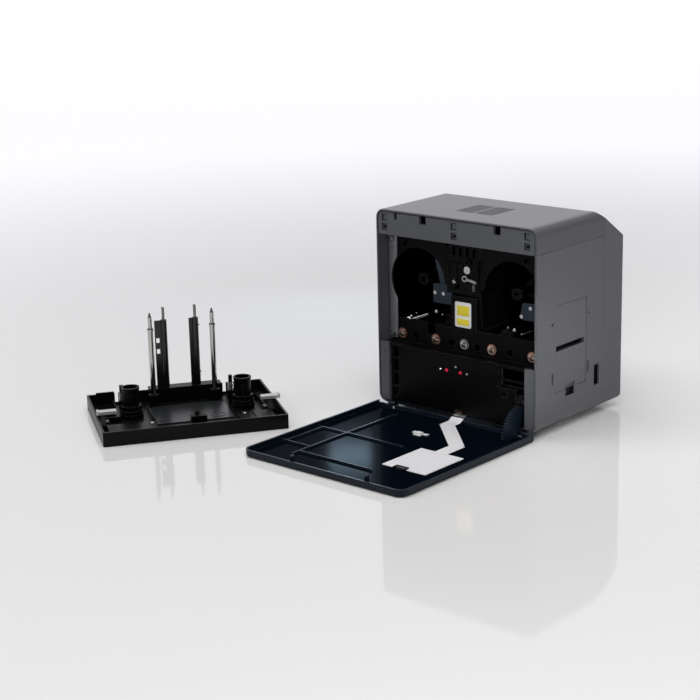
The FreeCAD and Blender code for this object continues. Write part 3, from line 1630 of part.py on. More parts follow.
def handle_seat(side):
    # the slide block that carries a handle, as (inner end, outer end) along the cassette
    if side < 0:
        return handle_inset, handle_seat_reach
    return cassette_length - handle_seat_reach, cassette_length - handle_inset


def tray_platforms():
    # raised platforms and ribs in the tray's near corners
    platform_top = 9.5
    near_gap = 2.5
    left_start = 12.0
    left_end = 73.0
    right_start = 55.0
    right_end = 10.0
    platform_depth = 56.0
    rib_sheet = 1.6
    rib_shares = (0.79, 0.85)
    rib_top = cassette_wall_height / 2
    rib_back = near_gap + platform_depth
    far_end = cassette_length - cassette_wall
    near = near_gap + cassette_wall
    right = cassette_length - right_start
    adds = [box(left_start, left_end, near, rib_back, cassette_floor, platform_top),
            box(right, cassette_length - right_end, near, rib_back, cassette_floor, platform_top)]
    for share in rib_shares:
        u = share * cassette_length
        adds.append(box(u, u + rib_sheet, cassette_wall, rib_back, cassette_floor, platform_top + rib_sheet))
    adds.append(box(cassette_wall, left_end, rib_back, rib_back + rib_sheet, cassette_floor, rib_top))
    adds.append(box(right, far_end, rib_back, rib_back + rib_sheet, cassette_floor, rib_top))
    return adds


def tray_seats():
    # what the tray carries: hub pedestals and pegs, rod bosses, the film finger and the handle shelves
    finger_rise = 9.0
    finger_tip_rise = 13.0
    finger_side = 6.0
    tip_width = 5.0
    shelf_margin = 3.0
    cup_pin_drop = 8.0
    peg_drop = 2.0
    finger_overlap = 2.0
    adds = []
    for u in hub_u:
        adds.append(rod_z(u, hub_v, cassette_floor, pedestal_top, pedestal_share * cup_radius))
        adds.append(rod_z(u, hub_v, pedestal_top, cup_height - cup_pin_drop, hub_pin_radius))
    for u, v in peg_places():
        adds.append(rod_z(u, v, cassette_floor, cup_height - peg_drop, peg_radius))
        adds.append(rod_z(u, v, cassette_floor, cup_height / 2, peg_foot_radius))
    for side in (-1, 1):
        adds.append(rod_z(steel_rod_u(side), steel_v, cassette_floor, rod_boss_top, rod_boss_radius))
        seat = handle_seat(side)
        adds.append(box(seat[0], seat[1], handle_v - shelf_margin, handle_v + handle_breadth + shelf_margin,
                        cassette_floor, cassette_floor + shelf_rise))
    adds.append(box(finger_u, finger_u + finger_width, finger_near, finger_far, cassette_floor,
                    cassette_floor + finger_rise))
    tip_start = finger_u + finger_side
    adds.append(box(tip_start, tip_start + tip_width, finger_far - finger_overlap, finger_tip,
                    cassette_floor, cassette_floor + finger_tip_rise))
    return adds


def make_cassette_tray():
    soft = 2.0
    block_left = 45.0
    block_right = 52.0
    block_depth = 20.0
    tab_start = 12.0
    tab_end = 36.0
    notch = 4.6
    notch_shares = (0.166, 0.785)
    length = cassette_length
    breadth = cassette_breadth
    outer = plate_z(rectangle(0, length, 0, breadth), 0, cassette_wall_height, [soft] * 4)
    inner = plate_z(rectangle(cassette_wall, length - cassette_wall, cassette_wall, breadth - cassette_wall),
                    cassette_floor, cassette_wall_height + overrun, [door_rib] * 4)
    far_block = plate_z(rectangle(middle_u - block_left, middle_u + block_right, breadth - block_depth,
                                  breadth - cassette_wall), cassette_floor, far_block_top, [soft] * 4)
    tab = box(tab_start, tab_end, breadth - cassette_wall, breadth,
              cassette_wall_height, cassette_wall_height + soft)
    tray = outer.cut(inner).multiFuse([far_block, tab] + tray_seats() + tray_platforms())
    cuts = []
    for share in notch_shares:
        u = share * length
        cuts.append(box(u - notch / 2, u + notch / 2, breadth - cassette_wall - overrun / 2,
                        breadth + overrun, 2 * cassette_floor, cassette_wall_height + overrun))
    for side in (-1, 1):
        cuts.append(rod_z(steel_rod_u(side), steel_v, 2 * cassette_floor, rod_boss_top + overrun,
                          rod_radius - journal_step + shaft_clearance))
        cuts.append(rod_z(guide_post_u(side), post_v, 2 * cassette_floor, far_block_top + overrun,
                          post_radius - journal_step))
    return place_cassette(tray.cut(cuts).removeSplitter())


def make_cassette_plate():
    # grey film guide plate with the raised outlines of two spools
    span_shares = (0.325, 0.752)
    depth_shares = (0.345, 0.8)
    corner_cut_left = 8.0
    corner_cut_right = 16.0
    corner_run = 9.0
    sheet = 1.6
    ring_rise = 0.5
    ring_shares = ((0.377, 0.047), (0.672, 0.0585))
    ring_inset = 16.0
    low = cassette_floor
    top = low + sheet
    left, right = [share * cassette_length for share in span_shares]
    near, far = [share * cassette_breadth for share in depth_shares]
    points = [(left, near), (right, near), (right, far - corner_cut_right), (right - corner_run, far),
              (left + corner_run, far), (left, far - corner_cut_left)]
    plate = plate_z(points, low, top, [edge_soft] * len(points))
    for along, size in ring_shares:
        u = along * cassette_length
        radius = size * cassette_breadth
        v = near + ring_inset
        outer = rod_z(u, v, top, top + ring_rise, radius)
        outer = outer.cut(rod_z(u, v, low, low + overrun, radius - edge_soft))
        plate = plate.multiFuse([outer, rod_z(u, v, top, top + ring_rise, radius / 3)])
    reliefs = [box(finger_u - part_gap, finger_u + finger_width + part_gap, 0, finger_tip + part_gap,
                   0, low + overrun)]
    for side in (-1, 1):
        reliefs.append(rod_z(steel_rod_u(side), steel_v, 0, low + overrun, rod_boss_radius + part_gap))
    for u in hub_u:
        reliefs.append(rod_z(u, hub_v, 0, low + overrun, pedestal_share * cup_radius + part_gap))
    for u, v in peg_places():
        reliefs.append(rod_z(u, v, 0, low + overrun, peg_foot_radius + part_gap))
    return place_cassette(plate.cut(reliefs).removeSplitter())


def make_spool_cup(index):
    # an open cup with three drive keys, turning on its pedestal's pin
    flange_share = 1.24
    collar_share = 1.08
    body_share = 0.94
    hollow_share = 0.82
    collar_height = 6.0
    rim_height = 3.0
    key_width = 2.4
    key_drop = 8.0
    key_turn = 20.0
    key_count = 3
    u = hub_u[index]
    collar_top = cup_base_top + collar_height
    flange = rod_z(u, hub_v, pedestal_top + seat_gap, cup_base_top, flange_share * cup_radius)
    collar = rod_z(u, hub_v, cup_base_top, collar_top, collar_share * cup_radius)
    body = rod_z(u, hub_v, cup_base_top, cup_height - rim_height, body_share * cup_radius)
    rim = rod_z(u, hub_v, cup_height - rim_height, cup_height, cup_radius)
    keys = []
    for turn in range(key_count):
        key = box(0, cup_radius, -key_width / 2, key_width / 2, cup_base_top, cup_height - key_drop)
        key.rotate(Vec(0, 0, 0), Vec(0, 0, 1), turn * 360 / key_count + key_turn)
        key.translate(Vec(u, hub_v, 0))
        keys.append(key)
    hollow = rod_z(u, hub_v, collar_top, cup_height + overrun, hollow_share * cup_radius)
    bore = rod_z(u, hub_v, 0, cup_height, hub_pin_radius + shaft_clearance)
    cup = flange.multiFuse([collar, body, rim] + keys).cut([hollow, bore])
    return place_cassette(cup.removeSplitter())


def make_steel_roller(side):
    # a polished tube with a dark collar and a pointed end
    tube_length = 87.5
    tip_length = 23.0
    neck_length = 2.5
    point_length = 6.0
    collar_rise = 0.7
    neck_share = 0.55
    shank_share = 0.75
    point_share = 0.25
    u = steel_rod_u(side)
    journal = rod_radius - journal_step
    seat = rod_boss_top + part_gap
    tube_top = rod_boss_top + tube_length
    tip_top = tube_top + tip_length
    shank = shank_share * rod_radius
    parts = [rod_z(u, steel_v, 2 * cassette_floor + part_gap, seat, journal),
             rod_z(u, steel_v, seat, tube_top, rod_radius),
             rod_z(u, steel_v, tube_top - neck_length / 2, tube_top + neck_length / 2,
                   rod_radius + collar_rise),
             rod_z(u, steel_v, tube_top, tube_top + neck_length, neck_share * rod_radius),
             rod_z(u, steel_v, tube_top + neck_length, tip_top - point_length, shank),
             Part.makeCone(shank, point_share * rod_radius, point_length,
                           Vec(u, steel_v, tip_top - point_length), Vec(0, 0, 1))]
    return place_cassette(fuse_all(parts))


post_length = 92.0
post_pin_length = 28.0
post_socket = 10.0
post_pin_radius = 1.9
post_top_z = far_block_top + post_length
post_pin_top = post_top_z - post_socket + post_pin_length


def guide_post_fin(side, u):
    # the flat fin along a guide post: the left one is broad and has two windows
    broad_fin = 8.0
    narrow_fin = 4.2
    fin_sheet = 2.0
    fin_drop = 0.5
    window_size = 6.5
    window_rise_shares = (0.504, 0.665)
    window_shares = (0.2, 0.75)
    fin = broad_fin if side < 0 else narrow_fin
    start = u - post_radius - fin
    plate = box(start, u, post_v - fin_sheet / 2, post_v + fin_sheet / 2,
                far_block_top, post_top_z - fin_drop)
    if side > 0:
        return plate
    windows = []
    for share in window_rise_shares:
        low = far_block_top + share * post_length
        windows.append(box(start + window_shares[0] * fin, start + window_shares[1] * fin,
                           0, cassette_breadth, low, low + window_size))
    return plate.cut(windows)


def make_guide_post(side):
    nub = 1.2
    nub_rise_shares = (0.185, 0.878)
    u = guide_post_u(side)
    foot = rod_z(u, post_v, 2 * cassette_floor, far_block_top, post_radius - journal_step)
    adds = [rod_z(u, post_v, far_block_top, post_top_z, post_radius), guide_post_fin(side, u)]
    if side > 0:
        for share in nub_rise_shares:
            low = far_block_top + share * post_length
            adds.append(box(u, u + post_radius + nub, post_v - nub, post_v + nub, low, low + nub))
    post = foot.multiFuse(adds)
    socket = rod_z(u, post_v, post_top_z - post_socket, post_top_z + overrun, post_pin_radius)
    return place_cassette(post.cut(socket).removeSplitter())


def make_post_pins():
    pins = []
    for side in (-1, 1):
        pin = rod_z(guide_post_u(side), post_v, post_top_z - post_socket, post_pin_top, post_pin_radius)
        tip = [e for e in pin.Edges if abs(e.BoundBox.ZMin - post_pin_top) < touch]
        pins.append(place_cassette(pin.makeChamfer(post_pin_radius / 2, tip)))
    return Part.Compound(pins)


def make_handle(side):
    # a pale finger bar over the tray wall on a sloped block that slides inwards
    grip_width = 2.0
    grip_rise = 1.2
    foot_sheet = 2.0
    stem_margin = 1.0
    stem_inner = 5.0
    stem_side = 2.0
    slope_run = 7.0
    inner_end, outer_end = handle_seat(side)
    start = left_handle_inset if side < 0 else cassette_length + right_handle_overhang - handle_length
    v0 = handle_v
    v1 = handle_v + handle_breadth
    top = handle_low + handle_sheet
    low = cassette_floor + shelf_rise + seat_gap
    bar = plate_z(rectangle(start, start + handle_length, v0, v1), handle_low, top, [edge_soft] * 4)
    grip_start = start if side < 0 else start + handle_length - grip_width
    lip = box(grip_start, grip_start + grip_width, v0, v1, top, top + grip_rise)
    stem_start = inner_end + (stem_margin if side < 0 else stem_inner)
    stem_end = outer_end - (stem_inner if side < 0 else stem_margin)
    stem = box(stem_start, stem_end, v0 + stem_side, v1 - stem_side, low, handle_low)
    foot = box(inner_end, outer_end, v0, v1, low, low + foot_sheet)
    slope = plate_x([(v0 + stem_side - slope_run, low), (v0 + stem_side, low), (v0 + stem_side, handle_low)],
                    stem_start, stem_end)
    return place_cassette(fuse_all([bar, lip, stem, foot, slope]))


# Every sub-part, under its node name

def build_all():
    keep("top_cover", make_top_cover())
    keep("header_panel", make_header_panel())
    keep("left_side_cover", make_left_side_cover())
    keep("right_side_cover", make_right_side_cover())
    keep("rear_cover", make_rear_cover())
    keep("right_hatch", make_right_hatch())
    keep("rear_sockets", make_rear_sockets())
    keep("power_rocker", make_power_rocker())
    keep("fan_rotor", make_fan_rotor())
    keep("base_pan", make_base_pan())
    keep("rubber_feet", make_rubber_feet())
    keep("hinge_pins", make_hinge_pins())
    keep("left_chassis_plate", make_left_chassis_plate())
    keep("right_chassis_plate", make_right_chassis_plate())
    keep("front_frame", make_front_frame())
    keep("bulkhead", make_bulkhead())
    keep("roller_deck", make_roller_deck())
    keep("shaft_bushings", make_shaft_bushings())
    places = roller_places()
    for index, x in enumerate(places):
        keep("transport_roller_" + str(index + 1), make_transport_roller(x))
    for index, row in enumerate(pinch_rows):
        keep("pinch_roller_" + str(index + 1), make_pinch_roller(places[row]))
    keep("guide_rods", make_guide_rods())
    keep("head_carrier", make_head_carrier())
    keep("head_lever", make_head_lever())
    keep("heater_housing", make_heater_housing())
    keep("heat_roller", make_heat_roller())
    keep("blank_label", make_blank_label())
    keep("film_brackets", make_film_brackets())
    keep("inner_screws", make_inner_screws())
    keep("lower_panel", make_lower_panel())
    keep("red_lamps", make_red_lamps())
    keep("white_lamps", make_white_lamps())
    keep("damper_housing", make_damper_housing())
    keep("control_board", make_control_board())
    keep("drive_motor", make_drive_motor())
    keep("left_coupler", make_spool_coupler(-spool_spacing / 2))
    keep("right_coupler", make_spool_coupler(spool_spacing / 2))
    keep("door_shell", make_door_shell())
    keep("display_window", make_display_window())
    keep("display_plate", make_display_plate())
    keep("flat_cable", make_flat_cable())
    keep("cable_tail", make_cable_tail())
    keep("cable_clip", make_cable_clip())
    keep("gear_sector", make_gear_sector())
    keep("damper_pinion", make_damper_pinion())
    keep("cassette_tray", make_cassette_tray())
    keep("cassette_plate", make_cassette_plate())
    keep("left_cup", make_spool_cup(0))
    keep("right_cup", make_spool_cup(1))
    keep("left_steel_roller", make_steel_roller(-1))
    keep("right_steel_roller", make_steel_roller(1))
    keep("left_guide_post", make_guide_post(-1))
    keep("right_guide_post", make_guide_post(1))
    keep("post_pins", make_post_pins())
    keep("left_handle", make_handle(-1))
    keep("right_handle", make_handle(1))


build_all()
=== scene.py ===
import math

import bmesh
import bpy
from mathutils import Matrix, Vector


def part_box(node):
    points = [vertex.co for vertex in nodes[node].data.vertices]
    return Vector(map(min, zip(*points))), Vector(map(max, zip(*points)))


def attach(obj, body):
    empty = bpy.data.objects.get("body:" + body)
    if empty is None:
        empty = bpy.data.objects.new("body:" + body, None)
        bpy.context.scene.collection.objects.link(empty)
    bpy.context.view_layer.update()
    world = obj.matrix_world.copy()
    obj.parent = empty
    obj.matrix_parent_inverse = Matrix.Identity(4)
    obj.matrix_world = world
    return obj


# Card printer with its front door down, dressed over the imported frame. Metres, Z up.
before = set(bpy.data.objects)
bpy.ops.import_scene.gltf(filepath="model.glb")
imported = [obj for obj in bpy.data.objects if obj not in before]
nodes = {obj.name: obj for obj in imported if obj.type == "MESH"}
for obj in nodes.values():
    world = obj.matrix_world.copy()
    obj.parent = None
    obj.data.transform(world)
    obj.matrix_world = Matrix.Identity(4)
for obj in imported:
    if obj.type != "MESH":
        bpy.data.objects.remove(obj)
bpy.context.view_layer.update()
print("frame loaded:", len(nodes), "nodes")


def linear(hexColour, alpha=1.0):
    # sRGB hex text to the linear colour that a shader socket takes
    parts = [int(hexColour[i:i + 2], 16) / 255 for i in (0, 2, 4)]
    return tuple(c / 12.92 if c <= 0.04045 else ((c + 0.055) / 1.055) ** 2.4 for c in parts) + (alpha,)


def addNode(tree, kind, values=None, links=None, **settings):
    # one node with its settings, its socket values and the outputs that feed it
    node = tree.nodes.new(kind)
    for name, value in settings.items():
        setattr(node, name, value)
    for socket, value in (values or {}).items():
        node.inputs[socket].default_value = value
    for socket, output in (links or {}).items():
        tree.links.new(output, node.inputs[socket])
    return node


def addMix(tree, factor, low, high, isColour=True):
    # blends two values or outputs by a factor output
    mix = addNode(tree, "ShaderNodeMix", links={0: factor}, data_type="RGBA" if isColour else "FLOAT")
    first = 6 if isColour else 2
    for index, value in ((first, low), (first + 1, high)):
        if isinstance(value, bpy.types.NodeSocket):
            tree.links.new(value, mix.inputs[index])
        else:
            mix.inputs[index].default_value = value
    return mix.outputs[2 if isColour else 0]


# Finishes. Grain and edge sizes are real millimetres and the Object coordinates are metres, so
# every pattern keeps its true scale. grain is the tool or rolling texture and depth its relief,
# edge the small rounding that catches a line of light, the edge light share how much lighter the
# colour is painted along that rounding as a painted highlight, mottle the uneven tone of a moulding
# or plating. A band paints part of a node as its second material.
finishDefaults = dict(roughness=0.4, metallic=0.0, specular=0.5, grain=0.8, depth=0.02, mottle=0.06, edge=0.4,
                      paintedEdgeLight=0.1, stretch=(1, 1, 1), emission=0.0, band=None)
rubberLane = dict(axis=1, low=0.0452, high=0.1008, colour="0c0c0d", roughness=0.75, metallic=0.0)
finishes = {
    # ABS moulded in a spark-eroded tool: a fine even grain that turns hard light into a soft glow
    "casingAbs": dict(colour="4b4c50", roughness=0.48, grain=0.45, depth=0.04, edge=0.5, paintedEdgeLight=0.18,
                      slot="casing"),
    # the top cover: its flat roof comes from a finer tool face and shines at a flat angle; the roof is
    # painted a little lighter than the casing as painted light from above, and the cover's sides a little
    # darker as painted shade
    "roofAbsPaintedLight": dict(colour="46474b", roughness=0.48, grain=0.45, depth=0.03, edge=0.5, paintedEdgeLight=0.18,
                    band=dict(axis=2, low=0.2628, high=0.27, colour="515256", roughness=0.3, metallic=0.0,
                              specular=0.8), slot="casing"),
    # the same ABS on the set-back front band, a little smoother from its polished core
    "fasciaAbs": dict(colour="4b4d51", roughness=0.46, grain=0.45, depth=0.03, edge=0.4, paintedEdgeLight=0.2,
                      slot="fascia"),
    # ABS tinted blue-black, its satin tool face gives broad smoky reflections; its floor is painted darker
    # and almost without reflection as painted shade, and its rib edges get a strong painted highlight
    "doorAbs": dict(colour="0e1822", roughness=0.34, specular=0.2, grain=1.4, depth=0.01, mottle=0.2,
                    paintedEdgeLight=0.9,
                    # the door's floor: the same ABS painted darker, as painted shade
                    band=dict(axis=2, low=0.0026, high=0.003, colour="030910", roughness=0.13, metallic=0.0,
                              specular=0.0022), slot="door_plastic"),
    # glass-filled nylon as moulded: black, with the faint silky sheen of its fibres
    "blackNylon": dict(colour="070707", roughness=0.34, specular=0.14, grain=0.9, depth=0.03, mottle=0.3,
                       paintedEdgeLight=0.6, slot="black_plastic"),
    # the same nylon from a polished tool on the round posts: one long line of light
    "postNylon": dict(colour="0a0908", roughness=0.2, specular=0.7, grain=0.9, depth=0.01, mottle=0.2,
                      slot="black_plastic"),
    # black polycarbonate of the mechanism, matt enough to swallow the light
    "innerBlack": dict(colour="050505", roughness=0.4, specular=0.1, grain=1.0, depth=0.03, mottle=0.3,
                       paintedEdgeLight=0.6, slot="inner_black"),
    # the front frame from a coarser tool: matt, so that its bays stay dark
    "frameBlack": dict(colour="080809", roughness=0.5, specular=0.1, mottle=0.2, paintedEdgeLight=0.3,
                       slot="inner_black"),
    # the lower panel from a finer one: a faint sheen, and its edges painted lighter as a painted highlight
    "panelBlack": dict(colour="050506", roughness=0.36, specular=0.15, grain=0.5, depth=0.02, mottle=0.3,
                       paintedEdgeLight=0.8, slot="inner_black"),
    # rolled zinc-plated sheet: faint lines along the rolling direction and cloudy plating; deeper in the
    # printer the same sheet is painted near-black as painted shade of the bay
    "zincFlange": dict(colour="c6c9cd", roughness=0.5, metallic=1.0, grain=2.0, depth=0.01, mottle=0.18,
                       stretch=(6, 6, 0.5), edge=0.5, paintedEdgeLight=0.3,
                       # deeper than 26 mm: the sheet painted near-black, painted shade of the bay
                       band=dict(axis=1, low=0.026, high=0.25, colour="1b1d20", roughness=0.4, metallic=1.0),
                       slot="zinc_steel"),
    # small brackets in the same zinc plating with its blue cast, painted dark all over as painted shade
    # where they sit in the printer's shade
    "zincBracket": dict(colour="434e58", roughness=0.4, metallic=1.0, grain=2.0, depth=0.01, mottle=0.2,
                        stretch=(6, 6, 0.5), edge=0.4, paintedEdgeLight=0.3, slot="zinc_steel"),
    # ground and polished bar: mirror bright, with grinding rings too fine to see one by one
    "polishedSteel": dict(colour="cfcdca", roughness=0.12, metallic=1.0, grain=0.3, depth=0.003, mottle=0.04,
                          edge=0.2, slot="bright_steel"),
    # hardened pins, greyer than the bar
    "pinSteel": dict(colour="8f8c8a", roughness=0.22, metallic=1.0, grain=0.3, depth=0.003, mottle=0.06,
                     edge=0.2, slot="bright_steel"),
    # steel roller ends with their rubber cover between the walls
    "rollerSteel": dict(colour="cfcdca", roughness=0.2, metallic=1.0, grain=0.3, depth=0.003, mottle=0.06,
                        edge=0.3, band=rubberLane, slot="bright_steel"),
    # turned bronze bushings, pinkish from their copper, and the steel one of the third roller
    "turnedBronze": dict(colour="c9957a", roughness=0.24, metallic=1.0, grain=0.3, depth=0.01, mottle=0.1,
                         edge=0.3,
                         band=dict(axis=0, low=-0.006, high=0.0096, colour="9a9ca0", roughness=0.24,
                                   metallic=1.0),
                         slot="brass"),
    # finely turned caps: a bright ring of light round each screw
    "pinkBronze": dict(colour="dcb7a2", roughness=0.18, metallic=1.0, grain=0.3, depth=0.01, mottle=0.1,
                       edge=0.2, slot="brass"),
    # baked powder paint with its slight orange peel
    "blackPaint": dict(colour="0c0c0d", roughness=0.5, specular=0.3, grain=1.2, depth=0.03,
                       slot="black_metal"),
    # ground rubber: matt, with a dusty grey bloom
    "groundRubber": dict(colour="141415", roughness=0.8, specular=0.3, grain=0.4, depth=0.05, mottle=0.15,
                         slot="roller_rubber"),
    # tinted lamp domes, lit from behind
    "redLens": dict(colour="b01c30", roughness=0.12, grain=1.0, depth=0.002, emission=0.35, slot="red_lens"),
    "whiteLens": dict(colour="b4b6b4", roughness=0.15, grain=1.0, depth=0.002, emission=0.15,
                      slot="white_lens"),
    # printed film: flat and slightly glossy
    "labelFilm": dict(colour="c4c6c9", roughness=0.3, grain=2.0, depth=0.004, mottle=0.03, slot="label_film"),
    # yellow ink flooded under the film: even, slightly cloudy
    "yellowFilm": dict(colour="c8b824", roughness=0.32, grain=2.0, depth=0.004, mottle=0.06,
                       slot="label_film"),
    # matt white polyester of the ribbon cable and the plate's backing
    "whiteSheet": dict(colour="cfced0", roughness=0.55, grain=1.5, depth=0.01, mottle=0.02, edge=0.2,
                       slot="white_sheet"),
    # the ribbon's printer end: white sheet under a black clamp
    "tailSheet": dict(colour="e2e1e2", roughness=0.5, grain=1.5, depth=0.01, edge=0.2,
                      band=dict(axis=1, low=0.0078, high=0.02, colour="080808", roughness=0.45, metallic=0.0),
                      slot="white_sheet"),
    # satin plated finger bar over its black slide
    "handleTwoShot": dict(colour="b6b5b2", roughness=0.3, metallic=0.35, grain=0.7, depth=0.02, mottle=0.08,
                          band=dict(axis=2, low=0.0, high=0.0199, colour="0a0a0a", roughness=0.4,
                                    metallic=0.0),
                          slot="cream_plastic"),
    # smoke-grey film guide plate, glossier than the tray round it
    "greyPlate": dict(colour="1c1e1f", roughness=0.3, specular=0.5, grain=0.8, depth=0.04, mottle=0.3,
                      paintedEdgeLight=0.6, slot="grey_plate"),
    # solder resist over copper pours
    "boardGreen": dict(colour="1c5232", roughness=0.4, grain=2.0, depth=0.01, mottle=0.2, slot="board_green"),
    # polished acrylic, black behind: mirror smooth, so that the window reads as one dark pane
    "windowGloss": dict(colour="050506", roughness=0.05, grain=2.0, depth=0.001, mottle=0.0,
                        slot="window_gloss"),
    # the gear in the door's ABS: a painted highlight along the edge of each tooth
    "sectorNavy": dict(colour="0a1622", roughness=0.34, specular=0.3, mottle=0.15, paintedEdgeLight=0.5,
                       slot="door_plastic"),
}
materials = {}


def makeFinish(name):
    look = {**finishDefaults, **finishes[name]}
    material = bpy.data.materials.new(name)
    material.use_nodes = True
    tree = material.node_tree
    shader = tree.nodes["Principled BSDF"]
    shader.inputs["Specular IOR Level"].default_value = look["specular"]
    coords = addNode(tree, "ShaderNodeTexCoord").outputs["Object"]
    along = addNode(tree, "ShaderNodeMapping", {"Scale": look["stretch"]},
                    {"Vector": coords}).outputs["Vector"]
    cloud = addNode(tree, "ShaderNodeTexNoise",
                    {"Scale": perMetre / surface["cloudSize"], "Detail": surface["cloudDetail"],
                     "Roughness": surface["cloudRoughness"]}, {"Vector": along}).outputs["Fac"]
    grain = addNode(tree, "ShaderNodeTexNoise",
                    {"Scale": perMetre / look["grain"], "Detail": surface["grainDetail"]},
                    {"Vector": along}).outputs["Fac"]
    soft = addNode(tree, "ShaderNodeBevel", {"Radius": look["edge"] / perMetre},
                   samples=surface["bevelSamples"]).outputs["Normal"]
    trueNormal = addNode(tree, "ShaderNodeNewGeometry").outputs["Normal"]
    facing = addNode(tree, "ShaderNodeVectorMath", links={0: soft, 1: trueNormal}, operation="DOT_PRODUCT")
    # where the bevel bends the normal: the rounded edges that get the painted highlight
    edgeHighlightMask = addNode(tree, "ShaderNodeMapRange",
                  {"From Min": surface["rimStart"], "From Max": surface["rimEnd"], "To Min": 0.0,
                   "To Max": look["paintedEdgeLight"]}, {"Value": facing.outputs["Value"]}).outputs["Result"]
    base = linear(look["colour"])
    spread = [tuple(min(c * (1 + sign * look["mottle"]), 1) for c in base[:3]) + (1,) for sign in (-1, 1)]
    colour = addMix(tree, cloud, *spread)
    roughness = addNode(tree, "ShaderNodeMapRange",
                        {"From Min": surface["cloudLow"], "From Max": surface["cloudHigh"],
                         "To Min": look["roughness"] * (1 - surface["roughSwing"]),
                         "To Max": look["roughness"] * (1 + surface["roughSwing"])},
                        {"Value": cloud}).outputs["Result"]
    band = look["band"]
    if band:
        axes = addNode(tree, "ShaderNodeSeparateXYZ", links={0: coords})
        middle = (band["low"] + band["high"]) / 2
        inside = addNode(tree, "ShaderNodeMath", {1: middle, 2: band["high"] - middle},
                         {0: axes.outputs[band["axis"]]}, operation="COMPARE").outputs[0]
        colour = addMix(tree, inside, colour, linear(band["colour"]))
        roughness = addMix(tree, inside, roughness, band["roughness"], isColour=False)
        metallic = addMix(tree, inside, look["metallic"], band["metallic"], isColour=False)
        tree.links.new(metallic, shader.inputs["Metallic"])
        if "specular" in band:
            gloss = addMix(tree, inside, look["specular"], band["specular"], isColour=False)
            tree.links.new(gloss, shader.inputs["Specular IOR Level"])
    else:
        shader.inputs["Metallic"].default_value = look["metallic"]
    # painted highlight: the colour lightened toward white along rounded edges
    edgeHighlightColour = tuple(c + (1 - c) * surface["edgeHighlightShare"] for c in base[:3]) + (1,)
    tree.links.new(addMix(tree, edgeHighlightMask, colour, edgeHighlightColour), shader.inputs["Base Color"])
    tree.links.new(roughness, shader.inputs["Roughness"])
    bump = addNode(tree, "ShaderNodeBump",
                   {"Strength": surface["bumpStrength"], "Distance": look["depth"] / perMetre},
                   {"Height": grain, "Normal": soft})
    tree.links.new(bump.outputs["Normal"], shader.inputs["Normal"])
    if look["emission"] > 0:
        shader.inputs["Emission Color"].default_value = base
        shader.inputs["Emission Strength"].default_value = look["emission"]
    materials[name] = material


# What all finishes share: cloud size in millimetres, the detail of clouds and grain, how far the
# clouds swing the roughness, where a rounded edge begins to count, and how far the colour there is
# lightened toward white as a painted highlight
perMetre = 1000
surface = dict(cloudSize=45.0, cloudDetail=3.0, cloudRoughness=0.6, cloudLow=0.3, cloudHigh=0.7,
               grainDetail=2.0, roughSwing=0.05, bevelSamples=3, rimStart=0.99, rimEnd=0.8, edgeHighlightShare=0.12,
               bumpStrength=0.6)
for finishName in finishes:
    makeFinish(finishName)
print("finishes made:", len(materials))

nodeFinish = {
    "roofAbsPaintedLight": ("top_cover",),
    "casingAbs": ("left_side_cover", "right_side_cover", "rear_cover", "right_hatch"),
    "fasciaAbs": ("header_panel",),
    "blackNylon": ("rear_sockets", "power_rocker", "fan_rotor", "damper_pinion", "cassette_tray", "left_cup",
                   "right_cup"),
    "zincFlange": ("left_chassis_plate", "head_lever"),
    "zincBracket": ("film_brackets", "base_pan"),
    "groundRubber": ("rubber_feet", "pinch_roller_1", "pinch_roller_2", "heat_roller"),
    "polishedSteel": ("guide_rods", "inner_screws", "left_steel_roller", "right_steel_roller"),
    "pinSteel": ("post_pins",),
    "rollerSteel": tuple("transport_roller_" + str(number) for number in range(1, 6)),
    "blackPaint": ("right_chassis_plate", "drive_motor", "hinge_pins"),
    "frameBlack": ("front_frame",),
    "postNylon": ("left_guide_post", "right_guide_post"),
    "innerBlack": ("bulkhead", "roller_deck", "head_carrier", "heater_housing", "damper_housing",
                   "left_coupler", "right_coupler"),
    "turnedBronze": ("shaft_bushings",), "labelFilm": ("blank_label",), "panelBlack": ("lower_panel",),
    "redLens": ("red_lamps",), "whiteLens": ("white_lamps",), "boardGreen": ("control_board",),
    "doorAbs": ("door_shell",), "windowGloss": ("display_window",), "tailSheet": ("cable_tail",),
    "whiteSheet": ("display_plate", "flat_cable", "cable_clip"), "sectorNavy": ("gear_sector",),
    "greyPlate": ("cassette_plate",), "handleTwoShot": ("left_handle", "right_handle"),
}


def paintNode(name, finishName):
    node = nodes[name]
    if not node.material_slots:
        node.data.materials.append(materials[finishName])
    for nodeSlot in node.material_slots:
        nodeSlot.material = materials[finishName]


for finishName, nodeNames in nodeFinish.items():
    for nodeName in nodeNames:
        paintNode(nodeName, finishName)
print("nodes painted:", sum(len(names) for names in nodeFinish.values()), "of", len(nodes))


# Shape helpers for the added pieces

def addBar(bm, low, high, soft):
    # a bar with rounded edges, from its lowest to its highest corner
    low, high = Vector(low), Vector(high)
    place = Matrix.Translation((low + high) / 2) @ Matrix.Diagonal((*(high - low), 1))
    made = bmesh.ops.create_cube(bm, size=1, matrix=place)
    edges = list({edge for vert in made["verts"] for edge in vert.link_edges})
    bmesh.ops.bevel(bm, geom=edges, offset=soft, offset_type="OFFSET", segments=2, profile=0.5,
                    affect="EDGES", material=-1)


def addLathe(bm, centre, axis, profile, steps=28):
    # a turned form: its (radius, height) points spun about an axis through the centre
    axis = Vector(axis)
    out = axis.orthogonal().normalized()
    verts = [bm.verts.new(Vector(centre) + out * radius + axis * height) for radius, height in profile]
    edges = [bm.edges.new(pair) for pair in zip(verts, verts[1:])]
    bmesh.ops.spin(bm, geom=verts + edges, cent=centre, axis=axis, angle=2 * math.pi, steps=steps,
                   use_merge=True)
    bmesh.ops.remove_doubles(bm, verts=bm.verts, dist=weldDistance)


